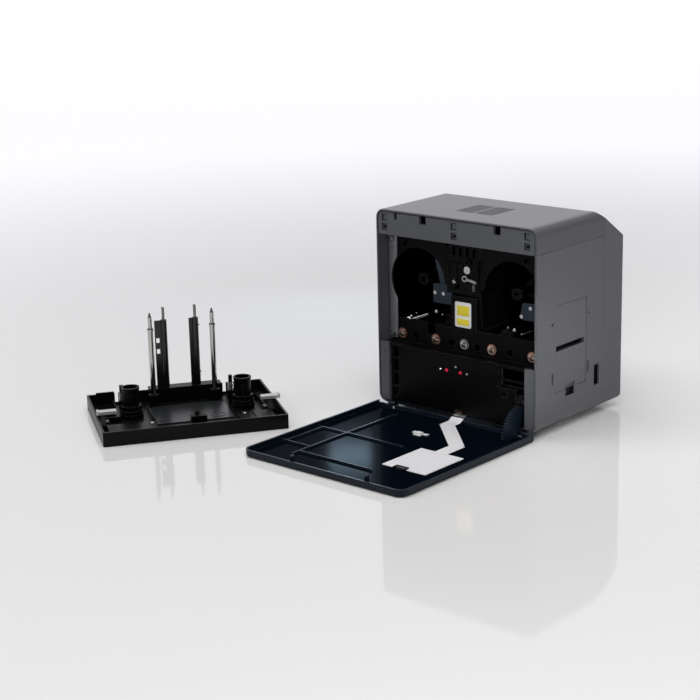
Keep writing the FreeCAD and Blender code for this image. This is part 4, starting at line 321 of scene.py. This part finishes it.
def scaleProfile(shares, radius, rise):
    # a profile given in shares of its radius and rise, brought to its size
    return [(radius * out, rise * up) for out, up in shares]


def addCoil(bm, centre, axis, radius, wire, length, turns):
    # a round wire carried up a helix about an axis through the centre
    axis = Vector(axis)
    out = axis.orthogonal().normalized()
    turn = Matrix((out, axis, out.cross(axis))).transposed().to_4x4()
    made = bmesh.ops.create_circle(bm, segments=8, radius=wire,
                                   matrix=Matrix.Translation(Vector(centre) + out * radius) @ turn)
    edges = list({edge for vert in made["verts"] for edge in vert.link_edges})
    steps = coilSteps * turns
    bmesh.ops.spin(bm, geom=made["verts"] + edges, cent=centre, axis=axis, dvec=axis * (length / steps),
                   angle=2 * math.pi * turns, steps=steps)
    bmesh.ops.holes_fill(bm, edges=[edge for edge in bm.edges if edge.is_boundary])


def addCrossShade(bm, centre, reach, width, depth):
    # a dark cross on a screw head that faces the front: raised bars painted dark as painted shade of its
    # cross recess
    x, y, z = centre
    addBar(bm, (x - reach, y - depth, z - width / 2), (x + reach, y, z + width / 2), width / 6)
    addBar(bm, (x - width / 2, y - depth, z - reach), (x + width / 2, y, z + reach), width / 6)


def makePiece(name, bm, finishName, body, place=None):
    # the finished mesh, smooth where its faces meet at a low angle, riding on its body
    if place is not None:
        bmesh.ops.transform(bm, matrix=place, verts=bm.verts)
    bmesh.ops.recalc_face_normals(bm, faces=bm.faces)
    for face in bm.faces:
        face.smooth = True
    for edge in bm.edges:
        edge.smooth = len(edge.link_faces) == 2 and edge.calc_face_angle() < smoothAngle
    mesh = bpy.data.meshes.new(name)
    bm.to_mesh(mesh)
    bm.free()
    piece = bpy.data.objects.new(name, mesh)
    bpy.context.scene.collection.objects.link(piece)
    mesh.materials.append(materials[finishName])
    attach(piece, body)
    return piece


weldDistance = 0.00001
coilSteps = 20
smoothAngle = 0.6

# Header band: dark frames and squares as painted shade in the recess cells: a dark frame lines each
# recess cell, and the lower cells have a dark square where their hole lies in shade
recess = dict(size=0.009, bar=0.0008, depth=0.0007, floor=0.0023, rowLow=0.0053, rowPitch=0.0123,
              sideInset=0.014, soft=0.00015, hole=0.004)


def makeRecessShade():
    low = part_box("header_panel")[0]
    column = cadHalf - recess["sideInset"]
    bm = bmesh.new()
    front, back = recess["floor"] - recess["depth"], recess["floor"]
    half, bar = recess["size"] / 2, recess["bar"]
    for x in (-column, 0, column):
        for row in range(2):
            z = low.z + recess["rowLow"] + row * recess["rowPitch"]
            top = z + recess["size"]
            addBar(bm, (x - half, front, z), (x - half + bar, back, top), recess["soft"])
            addBar(bm, (x + half - bar, front, z), (x + half, back, top), recess["soft"])
            addBar(bm, (x - half + bar, front, z), (x + half - bar, back, z + bar), recess["soft"])
            addBar(bm, (x - half + bar, front, top - bar), (x + half - bar, back, top), recess["soft"])
        hole = recess["hole"] / 2
        middle = low.z + recess["rowLow"] + half
        addBar(bm, (x - hole, front, middle - hole), (x + hole, back, middle + hole), recess["soft"])
    makePiece("recessShadeFrames", bm, "innerBlack", "printer_base")


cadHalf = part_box("right_side_cover")[1].x
makeRecessShade()

# Roller ends: a domed cap on each journal, pinkish but for one steel roller, with a dark cross on it
# as painted shade for its cross recess
rollerCap = dict(profile=((0, -0.0011), (0.0016, -0.001), (0.0031, -0.0006), (0.0041, 0.0), (0.0041, 0.0002)),
                 reach=0.0024, width=0.0007, depth=0.0003, steelRoller=3)


def makeRollerCaps():
    for number in range(1, 6):
        name = "transport_roller_" + str(number)
        low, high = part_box(name)
        centre = Vector(((low.x + high.x) / 2, low.y, (low.z + high.z) / 2))
        bm = bmesh.new()
        addLathe(bm, centre, (0, 1, 0), rollerCap["profile"])
        finish = "polishedSteel" if number == rollerCap["steelRoller"] else "pinkBronze"
        makePiece("rollerCap" + str(number), bm, finish, name)
        # painted shade: dark bars where the cap's cross recess would lie in shade
        bm = bmesh.new()
        face = centre + Vector((0, rollerCap["profile"][0][1], 0))
        addCrossShade(bm, face + Vector((0, rollerCap["depth"] / 3, 0)), rollerCap["reach"], rollerCap["width"],
                 rollerCap["depth"] / 2)
        makePiece("rollerCrossShade" + str(number), bm, "innerBlack", name)


makeRollerCaps()

# Label place on the heater housing: two plain yellow fields, with nothing printed on them
labelFields = dict(sheet=0.0002, sideShare=0.13, rows=((0.08, 0.34), (0.46, 0.86)), soft=0.00009)


def makeLabelFields():
    low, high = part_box("blank_label")
    width, height = high.x - low.x, high.z - low.z
    bm = bmesh.new()
    for start, end in labelFields["rows"]:
        addBar(bm, (low.x + labelFields["sideShare"] * width, low.y - labelFields["sheet"],
                    low.z + start * height),
               (high.x - labelFields["sideShare"] * width, low.y, low.z + end * height), labelFields["soft"])
    makePiece("labelFields", bm, "yellowFilm", "printer_base")


makeLabelFields()

# Head carrier: a steel stud, a return spring, and moulded ribs
headFit = dict(studX=-0.0125, studZ=0.179, studY=0.0171, studRadius=0.0026, studRise=0.0012,
               studProfile=((0, -1), (0.6, -0.9), (1, -0.35), (1, 0.2)), springX=0.0185,
               springZ=0.1795, springRadius=0.0019, springWire=0.0003, springLength=0.0085, springTurns=7,
               springY=0.0172, ribCount=5, ribSheet=0.0012, ribDepth=0.0014, ribShares=(0.09, 0.93),
               ribTop=0.2032, ribLow=0.189, screwX=0.007, screwGap=0.0055)


def makeHeadDetails():
    low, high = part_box("head_carrier")
    bm = bmesh.new()
    profile = scaleProfile(headFit["studProfile"], headFit["studRadius"], headFit["studRise"])
    addLathe(bm, (headFit["studX"], headFit["studY"], headFit["studZ"]), (0, 1, 0), profile)
    makePiece("headStud", bm, "polishedSteel", "printer_base")
    bm = bmesh.new()
    addCoil(bm, (headFit["springX"], headFit["springY"], headFit["springZ"]), (0, 0, -1),
            headFit["springRadius"], headFit["springWire"], headFit["springLength"], headFit["springTurns"])
    makePiece("headSpring", bm, "polishedSteel", "printer_base")
    bm = bmesh.new()
    first, last = (low.x + share * (high.x - low.x) for share in headFit["ribShares"])
    for index in range(headFit["ribCount"]):
        x = first + index * (last - first) / (headFit["ribCount"] - 1)
        if abs(x - headFit["screwX"]) < headFit["screwGap"]:
            continue
        addBar(bm, (x, headFaceY - headFit["ribDepth"], headFit["ribLow"]),
               (x + headFit["ribSheet"], headFaceY + headFit["ribDepth"], headFit["ribTop"]),
               headFit["ribSheet"] / 5)
    makePiece("headRibs", bm, "innerBlack", "printer_base")


headFaceY = 0.0195
makeHeadDetails()

# Film path: thin steel wires beside the guide rods, held by the bulkhead
pathWires = dict(places=((-0.083, 0.1262), (-0.0405, 0.1302), (0.0835, 0.1235), (0.0625, 0.1285)),
                 radius=0.0012, frontY=0.0275, tip=0.0006)


def makePathWires():
    bm = bmesh.new()
    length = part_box("bulkhead")[1].y - pathWires["frontY"] - wallSheet
    radius, tip = pathWires["radius"], pathWires["tip"]
    profile = ((0, 0), (radius - tip, 0), (radius, tip), (radius, length))
    for x, z in pathWires["places"]:
        addLathe(bm, (x, pathWires["frontY"], z), (0, 1, 0), profile, steps=16)
    makePiece("pathWires", bm, "polishedSteel", "printer_base")


wallSheet = 0.002
makePathWires()

# Lower panel: the door cable's socket above its slot, with its row of contacts
cableSocket = dict(x0=0.0005, x1=0.0135, rise=0.0008, height=0.0052, forward=0.0024, soft=0.0004, pins=8,
                   pinWidth=0.0007, pinDepth=0.0005)


def makeCableSocket():
    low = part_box("lower_panel")[0]
    z0 = low.z + panelFoot + cableSocket["rise"]
    z1 = z0 + cableSocket["height"]
    front = panelFaceY - cableSocket["forward"]
    bm = bmesh.new()
    addBar(bm, (cableSocket["x0"], front, z0), (cableSocket["x1"], panelFaceY, z1), cableSocket["soft"])
    makePiece("cableSocket", bm, "innerBlack", "printer_base")
    bm = bmesh.new()
    pitch = (cableSocket["x1"] - cableSocket["x0"]) / (cableSocket["pins"] + 1)
    for index in range(cableSocket["pins"]):
        x = cableSocket["x0"] + (index + 1) * pitch
        addBar(bm, (x - cableSocket["pinWidth"] / 2, front - cableSocket["pinDepth"],
                    z0 + cableSocket["rise"]),
               (x + cableSocket["pinWidth"] / 2, front, z1 - cableSocket["rise"]),
               cableSocket["pinWidth"] / 5)
    makePiece("cableContacts", bm, "pinkBronze", "printer_base")


panelFaceY = 0.001
panelFoot = 0.003
makeCableSocket()

# Door: the black clip that holds the white plate's far edge
plateClip = dict(middleShare=0.42, half=0.0092, bar=0.0014, near=0.0012, far=0.0062, rise=0.0016, soft=0.0003)


def makePlateClip():
    low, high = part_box("display_plate")
    middle = low.x + plateClip["middleShare"] * (high.x - low.x)
    x0, x1 = middle - plateClip["half"], middle + plateClip["half"]
    y0, y1 = low.y - plateClip["near"], low.y + plateClip["far"]
    z0, z1, bar, soft = high.z, high.z + plateClip["rise"], plateClip["bar"], plateClip["soft"]
    bm = bmesh.new()
    addBar(bm, (x0, y0, z0), (x1, y0 + bar, z1), soft)
    addBar(bm, (x0, y1 - bar, z0), (x1, y1, z1), soft)
    addBar(bm, (x0, y0 + bar, z0), (x0 + bar, y1 - bar, z1), soft)
    addBar(bm, (x1 - bar, y0 + bar, z0), (x1, y1 - bar, z1), soft)
    addBar(bm, (x0, y0 - plateClip["near"], floorTopZ), (x0 + bar * 2, y0 + bar, z1), soft)
    addBar(bm, (x1 - bar * 2, y0 - plateClip["near"], floorTopZ), (x1, y0 + bar, z1), soft)
    makePiece("plateClip", bm, "blackNylon", "front_door")


floorTopZ = 0.0028
makePlateClip()

# Rear cover: a ring of pan-head screws, each with a dark cross on its head as painted shade of its
# recess
rearScrews = dict(sideInset=0.016, rows=(0.03, 0.118, 0.205), radius=0.0034, rise=0.0016,
                  profile=((0, 1), (0.55, 0.92), (0.9, 0.5), (1, 0)), recessReach=0.0021,
                  recessWidth=0.0007, recessRise=0.0001, recessDepth=0.0002)


def makeRearScrews():
    heads, crossShade = bmesh.new(), bmesh.new()
    rise = rearScrews["rise"]
    profile = scaleProfile(rearScrews["profile"], rearScrews["radius"], rise)
    for side in (-1, 1):
        for z in rearScrews["rows"]:
            x = side * (cadHalf - rearScrews["sideInset"])
            addLathe(heads, (x, backFaceY, z), (0, 1, 0), profile)
            addCrossShade(crossShade, (x, backFaceY + rise + rearScrews["recessRise"], z), rearScrews["recessReach"],
                     rearScrews["recessWidth"], rearScrews["recessDepth"])
    makePiece("rearScrewHeads", heads, "blackPaint", "printer_base")
    makePiece("rearScrewCrossShade", crossShade, "innerBlack", "printer_base")


backFaceY = 0.192
makeRearScrews()

# Cassette details are drawn in the tray's own flat frame and turned onto it
trayStand = dict(corner=(-0.2849, -0.3386, 0), turnDegrees=56)
trayTurn = Matrix.Rotation(math.radians(trayStand["turnDegrees"]), 4, "Z")
trayPlace = Matrix.Translation(trayStand["corner"]) @ trayTurn
cups = dict(hubs=((0.0495, 0.1015), (0.1965, 0.1015)), ribs=12, ribRadius=0.0122, ribSheet=0.0011,
            ribOut=0.0019, low=0.0146, high=0.0204, soft=0.0002)


def makeCupRibs():
    for name, (u, v) in zip(("left_cup", "right_cup"), cups["hubs"]):
        bm = bmesh.new()
        for index in range(cups["ribs"]):
            before = len(bm.verts)
            addBar(bm, (cups["ribRadius"], -cups["ribSheet"] / 2, cups["low"]),
                   (cups["ribRadius"] + cups["ribOut"], cups["ribSheet"] / 2, cups["high"]), cups["soft"])
            bm.verts.ensure_lookup_table()
            turn = Matrix.Rotation(2 * math.pi * index / cups["ribs"], 4, "Z")
            bmesh.ops.transform(bm, matrix=turn, verts=bm.verts[before:])
        makePiece(name.replace("_cup", "CupRibs"), bm, "blackNylon", name,
                  trayPlace @ Matrix.Translation((u, v, 0)))


makeCupRibs()

pegSprings = dict(pegs=((0.040, 0.1195), (0.184, 0.1195)), radius=0.0033, wire=0.0004, low=0.0229,
                  length=0.0105, turns=8)
trayScrews = dict(places=((0.020, 0.064), (0.0685, 0.050), (0.2215, 0.064), (0.188, 0.052), (0.030, 0.140),
                          (0.205, 0.140)),
                  floors=(0.003, 0.0095, 0.003, 0.0095, 0.003, 0.003), radius=0.0028, rise=0.0019,
                  profile=((1, 0), (1, 0.4), (0.6, 0.9), (0.3, 1), (0.25, 0.5), (0, 0.5)))


def makeTrayMetal():
    bm = bmesh.new()
    for u, v in pegSprings["pegs"]:
        addCoil(bm, (u, v, pegSprings["low"]), (0, 0, 1), pegSprings["radius"], pegSprings["wire"],
                pegSprings["length"], pegSprings["turns"])
    makePiece("pegSprings", bm, "polishedSteel", "spool_cassette", trayPlace)
    bm = bmesh.new()
    profile = scaleProfile(trayScrews["profile"], trayScrews["radius"], trayScrews["rise"])
    for (u, v), floor in zip(trayScrews["places"], trayScrews["floors"]):
        addLathe(bm, (u, v, floor), (0, 0, 1), profile)
    makePiece("trayScrews", bm, "pinSteel", "spool_cassette", trayPlace)


makeTrayMetal()

# Steel rollers: a black retaining ring under each pointed tip
rodRings = dict(radius=0.003, below=0.0222, length=0.0017, rise=0.0006, soft=0.0002)


def trayBox(name):
    # the lowest and highest corner of a CAD node in the tray's flat frame
    turn = trayPlace.inverted() @ nodes[name].matrix_world
    points = [turn @ vert.co for vert in nodes[name].data.vertices]
    return [Vector([pick(point[axis] for point in points) for axis in range(3)]) for pick in (min, max)]


def makeRodRings():
    radius, length, soft = rodRings["radius"], rodRings["length"], rodRings["soft"]
    outer = radius + rodRings["rise"]
    profile = ((radius - soft, 0), (outer, soft), (outer, length - soft), (radius - soft, length))
    for name in ("left_steel_roller", "right_steel_roller"):
        low, high = trayBox(name)
        z = high.z - rodRings["below"]
        bm = bmesh.new()
        addLathe(bm, ((low.x + high.x) / 2, (low.y + high.y) / 2, z), (0, 0, 1), profile)
        makePiece(name.replace("_steel_roller", "RodRing"), bm, "blackNylon", name, trayPlace)


makeRodRings()

trayRibs = dict(low=0.003, high=0.0105, sheet=0.0012, soft=0.0002,
                runs=((0.0045, 0.088, 0.0335, 0.088), (0.0045, 0.118, 0.0300, 0.118),
                      (0.0325, 0.135, 0.0325, 0.166),
                      (0.2035, 0.132, 0.2305, 0.132), (0.2205, 0.088, 0.2205, 0.128),
                      (0.0735, 0.064, 0.0735, 0.128)))


def makeTrayRibs():
    bm = bmesh.new()
    for u0, v0, u1, v1 in trayRibs["runs"]:
        addBar(bm, (u0, v0, trayRibs["low"]), (u1 + trayRibs["sheet"], v1 + trayRibs["sheet"],
                                               trayRibs["high"]),
               trayRibs["soft"])
    makePiece("trayRibs", bm, "blackNylon", "spool_cassette", trayPlace)


makeTrayRibs()
print("detail pieces made")

# Camera at the photograph's place
shot = dict(place=(1.28404, -1.65423, 0.66839), yaw=-41.40078, pitch=15.23141, roll=-1.37968,
            focalPixels=1725.597, framePixels=700, sensorWidth=36.0, clipStart=0.05, clipEnd=30.0)


def makeCamera():
    yaw, pitch, roll = (math.radians(shot[k]) for k in ("yaw", "pitch", "roll"))
    forward = Vector((math.sin(yaw) * math.cos(pitch), math.cos(yaw) * math.cos(pitch), -math.sin(pitch)))
    right = Vector((math.cos(yaw), -math.sin(yaw), 0))
    up = right.cross(forward)
    rolledRight = math.cos(roll) * right + math.sin(roll) * up
    rolledUp = -math.sin(roll) * right + math.cos(roll) * up
    data = bpy.data.cameras.new("photoCamera")
    data.sensor_width = shot["sensorWidth"]
    data.lens = shot["focalPixels"] / shot["framePixels"] * data.sensor_width
    data.clip_start = shot["clipStart"]
    data.clip_end = shot["clipEnd"]
    camera = bpy.data.objects.new("photoCamera", data)
    bpy.context.scene.collection.objects.link(camera)
    turn = Matrix((rolledRight, rolledUp, -forward)).transposed().to_4x4()
    camera.matrix_world = Matrix.Translation(Vector(shot["place"])) @ turn
    bpy.context.scene.camera = camera


makeCamera()

# Glossy white table that fades into the studio's pale haze with distance from the object
table = dict(halfSize=9.0, colour="dad9d8", roughness=0.05, specular=0.4, fadeStart=0.35, fadeEnd=2.6,
             hazeNear=0.0, hazeFar=0.62)
haze = dict(colour="ebeaef", diffuse=0.2, glossyBack=0.95, glossyFront=0.14,
            facing=(-0.66, 0.75, 0.0), facingLow=-0.3, facingHigh=0.5, overhead=2.2, overheadLow=0.72,
            overheadHigh=0.95)


def makeTable():
    bm = bmesh.new()
    bmesh.ops.create_grid(bm, x_segments=1, y_segments=1, size=table["halfSize"])
    mesh = bpy.data.meshes.new("tableTop")
    bm.to_mesh(mesh)
    bm.free()
    top = bpy.data.objects.new("tableTop", mesh)
    bpy.context.scene.collection.objects.link(top)
    material = bpy.data.materials.new("whiteAcrylicTable")
    material.use_nodes = True
    tree = material.node_tree
    shader = tree.nodes["Principled BSDF"]
    shader.inputs["Base Color"].default_value = linear(table["colour"])
    shader.inputs["Roughness"].default_value = table["roughness"]
    shader.inputs["Specular IOR Level"].default_value = table["specular"]
    coords = addNode(tree, "ShaderNodeTexCoord").outputs["Object"]
    reach = addNode(tree, "ShaderNodeVectorMath", links={0: coords}, operation="LENGTH").outputs["Value"]
    fade = addNode(tree, "ShaderNodeMapRange",
                   {"From Min": table["fadeStart"], "From Max": table["fadeEnd"], "To Min": table["hazeNear"],
                    "To Max": table["hazeFar"]}, {"Value": reach},
                   interpolation_type="SMOOTHSTEP").outputs["Result"]
    seen = addNode(tree, "ShaderNodeLightPath").outputs["Is Camera Ray"]
    strength = addNode(tree, "ShaderNodeMath", links={0: fade, 1: seen}, operation="MULTIPLY").outputs[0]
    tree.links.new(strength, shader.inputs["Emission Strength"])
    shader.inputs["Emission Color"].default_value = linear(haze["colour"])
    mesh.materials.append(material)


makeTable()

lamps = {
    # softboxes: place, aim, width and height in metres, power in watts, spread in degrees, and
    # mirrored for the one lamp that shiny faces may show
    "topSoftbox": dict(place=(0.0, -0.4, 1.9), aim=(0.0, 0.0, 0.1), width=2.2, height=1.8, power=36),
    "rightSoftbox": dict(place=(0.95, -0.9, 0.65), aim=(0.1, 0.0, 0.1), width=0.7, height=0.6, power=3),
    "leftSoftbox": dict(place=(-1.8, -1.4, 1.2), aim=(-0.1, -0.1, 0.1), width=1.2, height=1.2, power=13),
    # small low box behind the printer: lays one soft patch of light on the door's floor
    "doorGlow": dict(place=(-0.581, 0.455, 0.292), aim=(-0.017, -0.183, 0.003), width=0.07, height=0.03,
                     power=0.42, colour="a8c4dc", mirrored=True),
    # narrow box at the right front: brightens the side cover toward the door
    "sideGlow": dict(place=(0.95, -0.75, 0.4), aim=(0.125, 0.005, 0.105), width=0.12, height=0.12,
                     power=0.091, spread=14),
    # high box over the table's far right
    "rightWash": dict(place=(1.5, 1.5, 1.6), aim=(1.1, 1.1, 0.0), width=1.2, height=1.2, power=14,
                      spread=60),
}


def makeLamps():
    for name, lamp in lamps.items():
        data = bpy.data.lights.new(name, "AREA")
        data.shape = "RECTANGLE"
        data.size = lamp["width"]
        data.size_y = lamp["height"]
        data.energy = lamp["power"]
        light = bpy.data.objects.new(name, data)
        data.spread = math.radians(lamp.get("spread", 180))
        data.color = linear(lamp.get("colour", "ffffff"))[:3]
        light.visible_camera = False
        light.visible_glossy = lamp.get("mirrored", False)
        bpy.context.scene.collection.objects.link(light)
        place = Vector(lamp["place"])
        aim = Vector(lamp["aim"]) - place
        light.matrix_world = Matrix.Translation(place) @ aim.to_track_quat("-Z", "Y").to_matrix().to_4x4()


makeLamps()


def makeWorld():
    # pale haze for the camera, even fill for matt faces, and for shiny ones a dark front, a bright
    # back and a soft glow overhead, so that no lamp stands as a hard shape in the glossy table
    world = bpy.data.worlds.new("paleStudio")
    bpy.context.scene.world = world
    world.use_nodes = True
    tree = world.node_tree
    tint = linear(haze["colour"])
    fill = tree.nodes["Background"]
    fill.inputs["Color"].default_value = tint
    fill.inputs["Strength"].default_value = haze["diffuse"]
    shown = addNode(tree, "ShaderNodeBackground", {"Color": tint, "Strength": 1.0})
    direction = addNode(tree, "ShaderNodeTexCoord").outputs["Generated"]
    facing = addNode(tree, "ShaderNodeVectorMath", {1: haze["facing"]}, {0: direction},
                     operation="DOT_PRODUCT")
    level = addNode(tree, "ShaderNodeMapRange", {"From Min": haze["facingLow"],
                                                 "From Max": haze["facingHigh"],
                                                 "To Min": haze["glossyFront"], "To Max": haze["glossyBack"]},
                    {"Value": facing.outputs["Value"]})
    height = addNode(tree, "ShaderNodeSeparateXYZ", links={0: direction}).outputs["Z"]
    above = addNode(tree, "ShaderNodeMapRange",
                    {"From Min": haze["overheadLow"], "From Max": haze["overheadHigh"], "To Min": 0.0,
                     "To Max": haze["overhead"]}, {"Value": height}, interpolation_type="SMOOTHSTEP")
    total = addNode(tree, "ShaderNodeMath", links={0: level.outputs["Result"], 1: above.outputs["Result"]},
                    operation="ADD").outputs[0]
    mirrored = addNode(tree, "ShaderNodeBackground", {"Color": tint}, {"Strength": total})
    path = addNode(tree, "ShaderNodeLightPath")
    shiny = addNode(tree, "ShaderNodeMath", links={0: path.outputs["Is Glossy Ray"],
                                                   1: path.outputs["Is Transmission Ray"]},
                                                   operation="MAXIMUM")
    first = addNode(tree, "ShaderNodeMixShader", links={0: shiny.outputs[0], 1: fill.outputs[0],
                                                        2: mirrored.outputs[0]})
    last = addNode(tree, "ShaderNodeMixShader", links={0: path.outputs["Is Camera Ray"], 1: first.outputs[0],
                                                       2: shown.outputs[0]})
    tree.links.new(last.outputs[0], tree.nodes["World Output"].inputs["Surface"])


makeWorld()
bpy.context.scene.view_settings.view_transform = "Standard"
print("studio ready")
